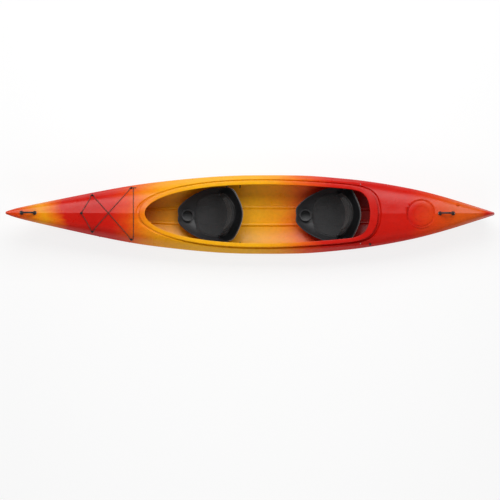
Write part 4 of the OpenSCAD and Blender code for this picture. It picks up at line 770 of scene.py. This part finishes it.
def back_point(a, b, t):
    y = a * BACK_HALF * BACK_SHAPE(b)
    z = lerp(BACK_LOW, BACK_TOP, b)
    s = BACK_S + (z - BACK_LEVEL) * BACK_LEAN - BACK_SWEEP * (y / BACK_HALF) ** 2 - t
    return np.stack([s, y, z], -1)


def ease(v, low, high):
    """A smooth step from 0 at low to 1 at high."""
    s = np.clip((v - low) / (high - low), 0, 1)
    return s * s * (3 - 2 * s)


def build_backrest(seat):
    """The curved panel, with a recessed and ribbed back face and round edges, and its two hinge eyes."""
    a, b = np.meshgrid(np.linspace(-1, 1, 81), np.linspace(0, 1, 61))
    field = ease(0.86 - np.abs(a), 0, 0.05) * ease(b, 0.10, 0.14) * ease(0.9 - b, 0, 0.04)
    ribs = ease(np.abs(np.mod(a * 4 + 0.5, 1) - 0.5), 0.06, 0.12)
    edge = np.minimum(ease(1 - np.abs(a), 0, 0.03), np.minimum(ease(b, 0, 0.03), ease(1 - b, 0, 0.03)))
    rear = back_point(a, b, BACK_RECESS * field * ribs + BACK_ROUND * (1 - edge))
    front = back_point(a, b, BACK_T - BACK_ROUND * (1 - edge))
    rows, cols = a.shape
    faces = grid_faces(rows, cols) + [f[::-1] for f in grid_faces(rows, cols, first=rows * cols)]
    rim = ([(0, c) for c in range(cols)] + [(r, cols - 1) for r in range(1, rows)]
           + [(rows - 1, c) for c in range(cols - 2, -1, -1)] + [(r, 0) for r in range(rows - 2, 0, -1)])
    rim = [r * cols + c for r, c in rim]
    far = rows * cols
    faces += [(p, q, q + far, p + far) for p, q in zip(rim, rim[1:] + rim[:1])]
    points = np.concatenate([rear.reshape(-1, 3), front.reshape(-1, 3)]) + [SEAT_X[seat], 0, 0]
    mesh = make_mesh(seat + "_back_shell", points, faces, 50)
    back = link(mesh, seat + "_back_shell", seat + " backrest", SEAT)
    for side in (-1, 1):
        r = HINGE_R + EYE_WALL
        eye = [(0, -EYE_RUN), (r - 1, -EYE_RUN), (r, 1 - EYE_RUN),
               (r, EYE_RUN - 1), (r - 1, EYE_RUN), (0, EYE_RUN)]
        bore = [(0, -20), (HINGE_R + 0.1, -20), (HINGE_R + 0.1, 20), (0, 20)]
        for profile, operation in ((eye, "UNION"), (bore, "DIFFERENCE")):
            ring = lathe(profile, (0, 0, 0), 48)
            turned = np.stack([ring[..., 0], ring[..., 2], ring[..., 1]], -1)
            place = [SEAT_X[seat] + HINGE_S, side * EYE_Y, HINGE_Z]
            combine(back, tube_mesh("eye", turned + place), operation)
    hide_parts(seat + "_backrest")


def strap_rows(seat):
    """Corners of the webbing round the back of the bucket, one row for each place along it."""
    loop = PAN_LOOP[PAN_LOOP[:, 0] > STRAP_S]
    v = loop - [PAN_MID, 0]
    d = v / np.linalg.norm(v, axis=1, keepdims=True)
    low = pan_rim_z(BRACKET_S) + STRAP_RISE - WEB_W
    u = np.linspace(0, 1, 13)
    bead = 0.35 * ease(np.abs(u - 0.5), 0.38, 0.46)
    out = np.concatenate([0.35 - bead, WEB_T - 0.35 + bead[::-1]])
    high = low + WEB_W * np.concatenate([u, u[::-1]])
    flat = loop[:, None, :] + d[:, None, :] * (FLANGE_W + 1 + out)[None, :, None]
    z = np.broadcast_to(high, flat.shape[:2])
    return np.concatenate([flat, z[..., None]], -1) + [SEAT_X[seat], 0, 0]


def build_strap(seat):
    rows = strap_rows(seat)
    n, m = rows.shape[:2]
    faces = grid_faces(n, m, close_cols=True) + [tuple(range(m)), tuple(range((n - 1) * m, n * m))[::-1]]
    strap = link(make_mesh(seat + "_strap", rows, faces, 60), seat + "_strap", "kayak", WEB)
    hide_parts(seat + "_seat_strap")


def node_copy(node, name):
    mesh = frame["nodes"][node].data.copy()
    mesh.name = name
    mesh.materials.clear()
    obj = bpy.data.objects.new(name, mesh)
    bpy.context.scene.collection.objects.link(obj)
    return obj


def coords(mesh):
    co = np.zeros(len(mesh.vertices) * 3)
    mesh.vertices.foreach_get("co", co)
    return co.reshape(-1, 3)


def normals(mesh):
    n = np.zeros(len(mesh.vertices) * 3)
    mesh.vertices.foreach_get("normal", n)
    return n.reshape(-1, 3)


def put_coords(mesh, co):
    mesh.vertices.foreach_set("co", co.ravel())
    mesh.update()


# Padding: how far a pad starts inside its solid, the most it may swell, and its first mesh
PAD_SHRINK, PAD_SWELL, PAD_VOXEL, SWELL_FRAMES = 3.0, 6.0, 5.0, 20
SEAM_DEPTH, PAD_FILL = 2.2, 0.55


def swollen(node, name, face):
    """A pad from its solid: drawn in, blown up by a cloth simulation, and kept flat behind its face."""
    pad = node_copy(node, name)
    remesh = pad.modifiers.new("even", "REMESH")
    remesh.mode, remesh.voxel_size = "VOXEL", PAD_VOXEL * MM
    apply_modifiers(pad)
    start, out = coords(pad.data), normals(pad.data)
    front = ease(out @ Vector(face).normalized(), -0.35, 0.35)
    start = start - out * (PAD_SHRINK * MM) * front[:, None]
    put_coords(pad.data, start)
    cloth = pad.modifiers.new("swell", "CLOTH")
    setup = cloth.settings
    setup.quality, setup.mass, setup.use_pressure, setup.uniform_pressure_force = 5, 0.3, True, 4
    setup.effector_weights.gravity = 0
    setup.tension_stiffness = setup.compression_stiffness = 12
    scene = bpy.context.scene
    for step in range(1, SWELL_FRAMES + 1):
        scene.frame_set(step)
    graph = bpy.context.evaluated_depsgraph_get()
    moved = bpy.data.meshes.new_from_object(pad.evaluated_get(graph), depsgraph=graph)
    way = coords(moved) - start
    far = np.linalg.norm(way, axis=1, keepdims=True)
    way *= np.minimum(1, PAD_SWELL * MM / np.maximum(far, 1e-9)) * front[:, None]
    pad.modifiers.clear()
    put_coords(pad.data, start + way)
    scene.frame_set(1)
    smooth = pad.modifiers.new("round", "SUBSURF")
    smooth.levels = smooth.render_levels = 1
    apply_modifiers(pad)
    pad.data.shade_smooth()
    return pad


def seat_share(x, y, seat):
    """How far out a place lies on the seat pad: 1 at its edge."""
    loop = PAN_LOOP - [PAN_MID, 0]
    turn = np.arctan2(loop[:, 1], loop[:, 0])
    reach = np.linalg.norm(loop, axis=1) * PAD_SHARE(PAN_LOOP[:, 0])
    order = np.argsort(turn)
    s = x - SEAT_X[seat] - PAN_MID
    edge = np.interp(np.arctan2(y, s), turn[order], reach[order], period=2 * math.pi)
    return np.hypot(s, y) / edge


def seam(share, at, width):
    return np.exp(-((share - at) / width) ** 2)


def shifted_copy(source, name, seat):
    """A copy of a front seat's pad at another seat."""
    pad = bpy.data.objects.new(name, source.data.copy())
    bpy.context.scene.collection.objects.link(pad)
    put_coords(pad.data, coords(pad.data) + [(SEAT_X[seat] - SEAT_X["front"]) * MM, 0, 0])
    return pad


def build_seat_pad(seat, source=None):
    """The seat's cushion, with a welt round its edge, a seam along each thigh and one across."""
    name = seat + "_pad"
    if source:
        pad = shifted_copy(source, name, seat)
    else:
        pad = swollen(seat + "_seat_pad", name, (0, 0, 1))
        co, out = coords(pad.data), normals(pad.data)
        x, y = co[:, 0] / MM, co[:, 1] / MM
        s = x - SEAT_X[seat]
        share = seat_share(x, y, seat)
        welt_at, leg_y, leg_splay, cross_s, cross_bend, seam_w = 0.86, 62, 0.10, 262, 0.0012, 3.2
        welt = seam(share, welt_at, 0.014)
        inside = ease(welt_at - 0.02 - share, 0, 0.06)
        legs = seam(np.abs(y), leg_y + leg_splay * s, seam_w) * inside
        cross = seam(s - cross_bend * y ** 2, cross_s, seam_w) * inside
        sink = np.clip(welt + legs + cross, 0, 1) * ease(out[:, 2], 0.2, 0.7)
        put_coords(pad.data, co - out * (SEAM_DEPTH * MM * sink)[:, None])
    finish_pad(pad, "kayak", seat + "_seat_pad")
    return pad


def build_back_pad(seat, source=None):
    """The backrest's cushion, with a welt round its edge and two seams across."""
    name = seat + "_back_pad"
    if source:
        pad = shifted_copy(source, name, seat)
    else:
        pad = swollen(seat + "_backrest_pad", name, (-1, 0, BACK_LEAN))
        co, out = coords(pad.data), normals(pad.data)
        b = (co[:, 2] / MM - BACK_LOW) / (BACK_TOP - BACK_LOW)
        pad_share, low, high = 0.84, 0.2, 0.91
        a = co[:, 1] / MM / (BACK_HALF * BACK_SHAPE(b) * pad_share)
        middle = ease(0.88 - np.abs(a), 0, 0.05) * ease(b, low, 0.24) * ease(high - b, 0, 0.04)
        sides = seam(np.abs(a), 0.9, 0.016) * ease(b, 0.18, low) * ease(0.93 - b, 0, 0.02)
        ends = (seam(b, low, 0.008) + seam(b, high, 0.008)) * ease(0.91 - np.abs(a), 0, 0.02)
        welt = np.clip(sides + ends, 0, 1)
        lines = (seam(b, 0.44, 0.011) + seam(b, 0.68, 0.011)) * middle
        sink = np.clip(welt + lines, 0, 1) * ease(-out[:, 0], 0.2, 0.6)
        put_coords(pad.data, co - out * (SEAM_DEPTH * MM * sink)[:, None])
    finish_pad(pad, seat + " backrest", seat + "_backrest_pad")
    return pad


def finish_pad(pad, body, node):
    pad.data.materials.clear()
    # The backrest pads take the darker cloth, whose darkness is painted shade
    pad.data.materials.append(CLOTH if body == "kayak" else SHADED_BACK_CLOTH)
    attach(pad, body)
    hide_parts(node)


def build_foam(node):
    """A pillar of closed-cell foam with its cut edges rounded over."""
    block = node_copy(node, node + "_block")
    block.data.materials.append(FOAM)
    bevel = block.modifiers.new("edges", "BEVEL")
    bevel.width, bevel.segments = 5 * MM, 3
    bevel.limit_method, bevel.angle_limit = "ANGLE", math.radians(35)
    apply_modifiers(block)
    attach(block, "kayak")
    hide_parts(node)


for seat in SEAT_X:
    build_pan(seat)
    build_backrest(seat)
    build_strap(seat)
seat_pad = build_seat_pad("front")
build_seat_pad("rear", seat_pad)
back_pad = build_back_pad("front")
build_back_pad("rear", back_pad)
for node in ("bow_foam", "stern_foam"):
    build_foam(node)

# CAD pieces that keep their shape get their finish here
FINISHES = {
    "hull_plastic": BOAT, "deck_plastic": BOAT, "black_plastic": BLACK, "seat_plastic": SEAT,
    "pad_cloth": CLOTH, "webbing": WEB, "cord": SHEATH, "steel": STEEL, "rail_metal": RAIL,
    "seal_rubber": SEAL, "runner_rubber": RUNNER, "foam": FOAM,
}
for row in frame["record"]["subparts"]:
    node = frame["nodes"][row["node"]]
    node.data.materials.clear()
    name = row["node"]
    if name.endswith(("backrest_pins", "seat_bolts")):
        node.data.materials.append(BLACKENED)
    elif name in ("drain_flange", "drain_plug"):
        node.data.materials.append(BOAT)
    else:
        node.data.materials.append(FINISHES[row["material_slot"]])


# Camera, lamps and floor
def build_camera():
    """Looks down on the boat from just off the vertical, as the photograph does."""
    mm_per_pixel, picture_px, distance = 9.04, 500, 8
    centre_px = Vector((249.5, 214.5))
    elevation = math.radians(86)
    middle = Vector((0, 0, 0.2))
    back = Vector((0, -math.cos(elevation), math.sin(elevation)))
    up = Vector((0, math.sin(elevation), math.cos(elevation)))
    data = bpy.data.cameras.new("camera")
    data.type = "ORTHO"
    data.ortho_scale = picture_px * mm_per_pixel * MM
    data.clip_end = 60
    camera = bpy.data.objects.new("camera", data)
    bpy.context.scene.collection.objects.link(camera)
    drop = (centre_px.y - picture_px / 2) * mm_per_pixel * MM
    camera.location = middle + back * distance + up * drop
    camera.rotation_mode = "QUATERNION"
    camera.rotation_quaternion = (-back).to_track_quat("-Z", "Y")
    bpy.context.scene.camera = camera


def area_lamp(name, place, aim, size, power, glossy=True):
    data = bpy.data.lights.new(name, "AREA")
    data.shape, data.size, data.size_y, data.energy = "RECTANGLE", size[0], size[1], power
    lamp = bpy.data.objects.new(name, data)
    bpy.context.scene.collection.objects.link(lamp)
    lamp.location = place
    lamp.visible_camera = False
    lamp.visible_glossy = glossy
    lamp.rotation_mode = "QUATERNION"
    lamp.rotation_quaternion = (Vector(aim) - Vector(place)).to_track_quat("-Z", "Y")


def build_light():
    """A large softbox above the starboard side, a weak fill from port, and the studio's white."""
    ceiling_level, horizon_band = 0.27, 0.12
    area_lamp("key", (0, 3.0, 4.4), (0, 0.1, 0.2), (6.5, 3.0), 290)
    area_lamp("fill", (0, -3.6, 3.6), (0, 0, 0.2), (6, 2.4), 60, glossy=False)
    world = bpy.data.worlds.new("studio")
    bpy.context.scene.world = world
    world.use_nodes = True
    nodes, links = world.node_tree.nodes, world.node_tree.links
    shade = nodes["Background"]
    shade.inputs["Color"].default_value = (1, 1, 1, 1)
    path = nodes.new("ShaderNodeLightPath")
    seen = path.outputs["Is Camera Ray"]
    for ray in ("Is Glossy Ray", "Is Transmission Ray"):
        either = nodes.new("ShaderNodeMath")
        either.operation = "MAXIMUM"
        links.new(seen, either.inputs[0])
        links.new(path.outputs[ray], either.inputs[1])
        seen = either.outputs[0]
    # White round the horizon, where the backdrop would stand, and a plain grey ceiling above it
    way = nodes.new("ShaderNodeSeparateXYZ")
    links.new(nodes.new("ShaderNodeTexCoord").outputs["Generated"], way.inputs[0])
    low = nodes.new("ShaderNodeMapRange")
    for key, value in {"From Min": 0.0, "From Max": horizon_band, "To Min": 1.0, "To Max": 0.0}.items():
        low.inputs[key].default_value = value
    links.new(way.outputs["Z"], low.inputs["Value"])
    backdrop = nodes.new("ShaderNodeMath")
    backdrop.operation = "MULTIPLY"
    links.new(seen, backdrop.inputs[0])
    links.new(low.outputs[0], backdrop.inputs[1])
    level = nodes.new("ShaderNodeMapRange")
    level.inputs["To Min"].default_value = ceiling_level
    level.inputs["To Max"].default_value = 1.0
    links.new(backdrop.outputs[0], level.inputs["Value"])
    links.new(level.outputs[0], shade.inputs["Strength"])


def build_floor():
    """A pale floor that the lamps only tint, so the object's shadow stays faint on white."""
    size, drop, white_share = 14, 0.0005, 0.8
    mesh = bpy.data.meshes.new("floor")
    corners = [(-size, -size, 0), (size, -size, 0), (size, size, 0), (-size, size, 0)]
    mesh.from_pydata(corners, [], [(0, 1, 2, 3)])
    floor = bpy.data.objects.new("floor", mesh)
    bpy.context.scene.collection.objects.link(floor)
    floor.location.z = -drop
    s = Shader("studio_floor")
    material = s.finish(srgb(246, 246, 246), 0.9)
    glow = s.new("ShaderNodeEmission", {"Color": (1, 1, 1, 1), "Strength": 1.0})
    path = s.new("ShaderNodeLightPath")
    seen = s.math("MAXIMUM", path.outputs["Is Camera Ray"], path.outputs["Is Glossy Ray"])
    seen = s.math("MAXIMUM", seen, path.outputs["Is Transmission Ray"])
    mixed = s.new("ShaderNodeMixShader", {0: s.math("MULTIPLY", seen, white_share), 1: s.bsdf.outputs[0],
                                          2: glow.outputs[0]})
    s.links.new(mixed.outputs[0], s.nodes["Material Output"].inputs["Surface"])
    floor.data.materials.append(material)


build_camera()
build_light()
build_floor()
bpy.context.scene.view_settings.view_transform = "Standard"
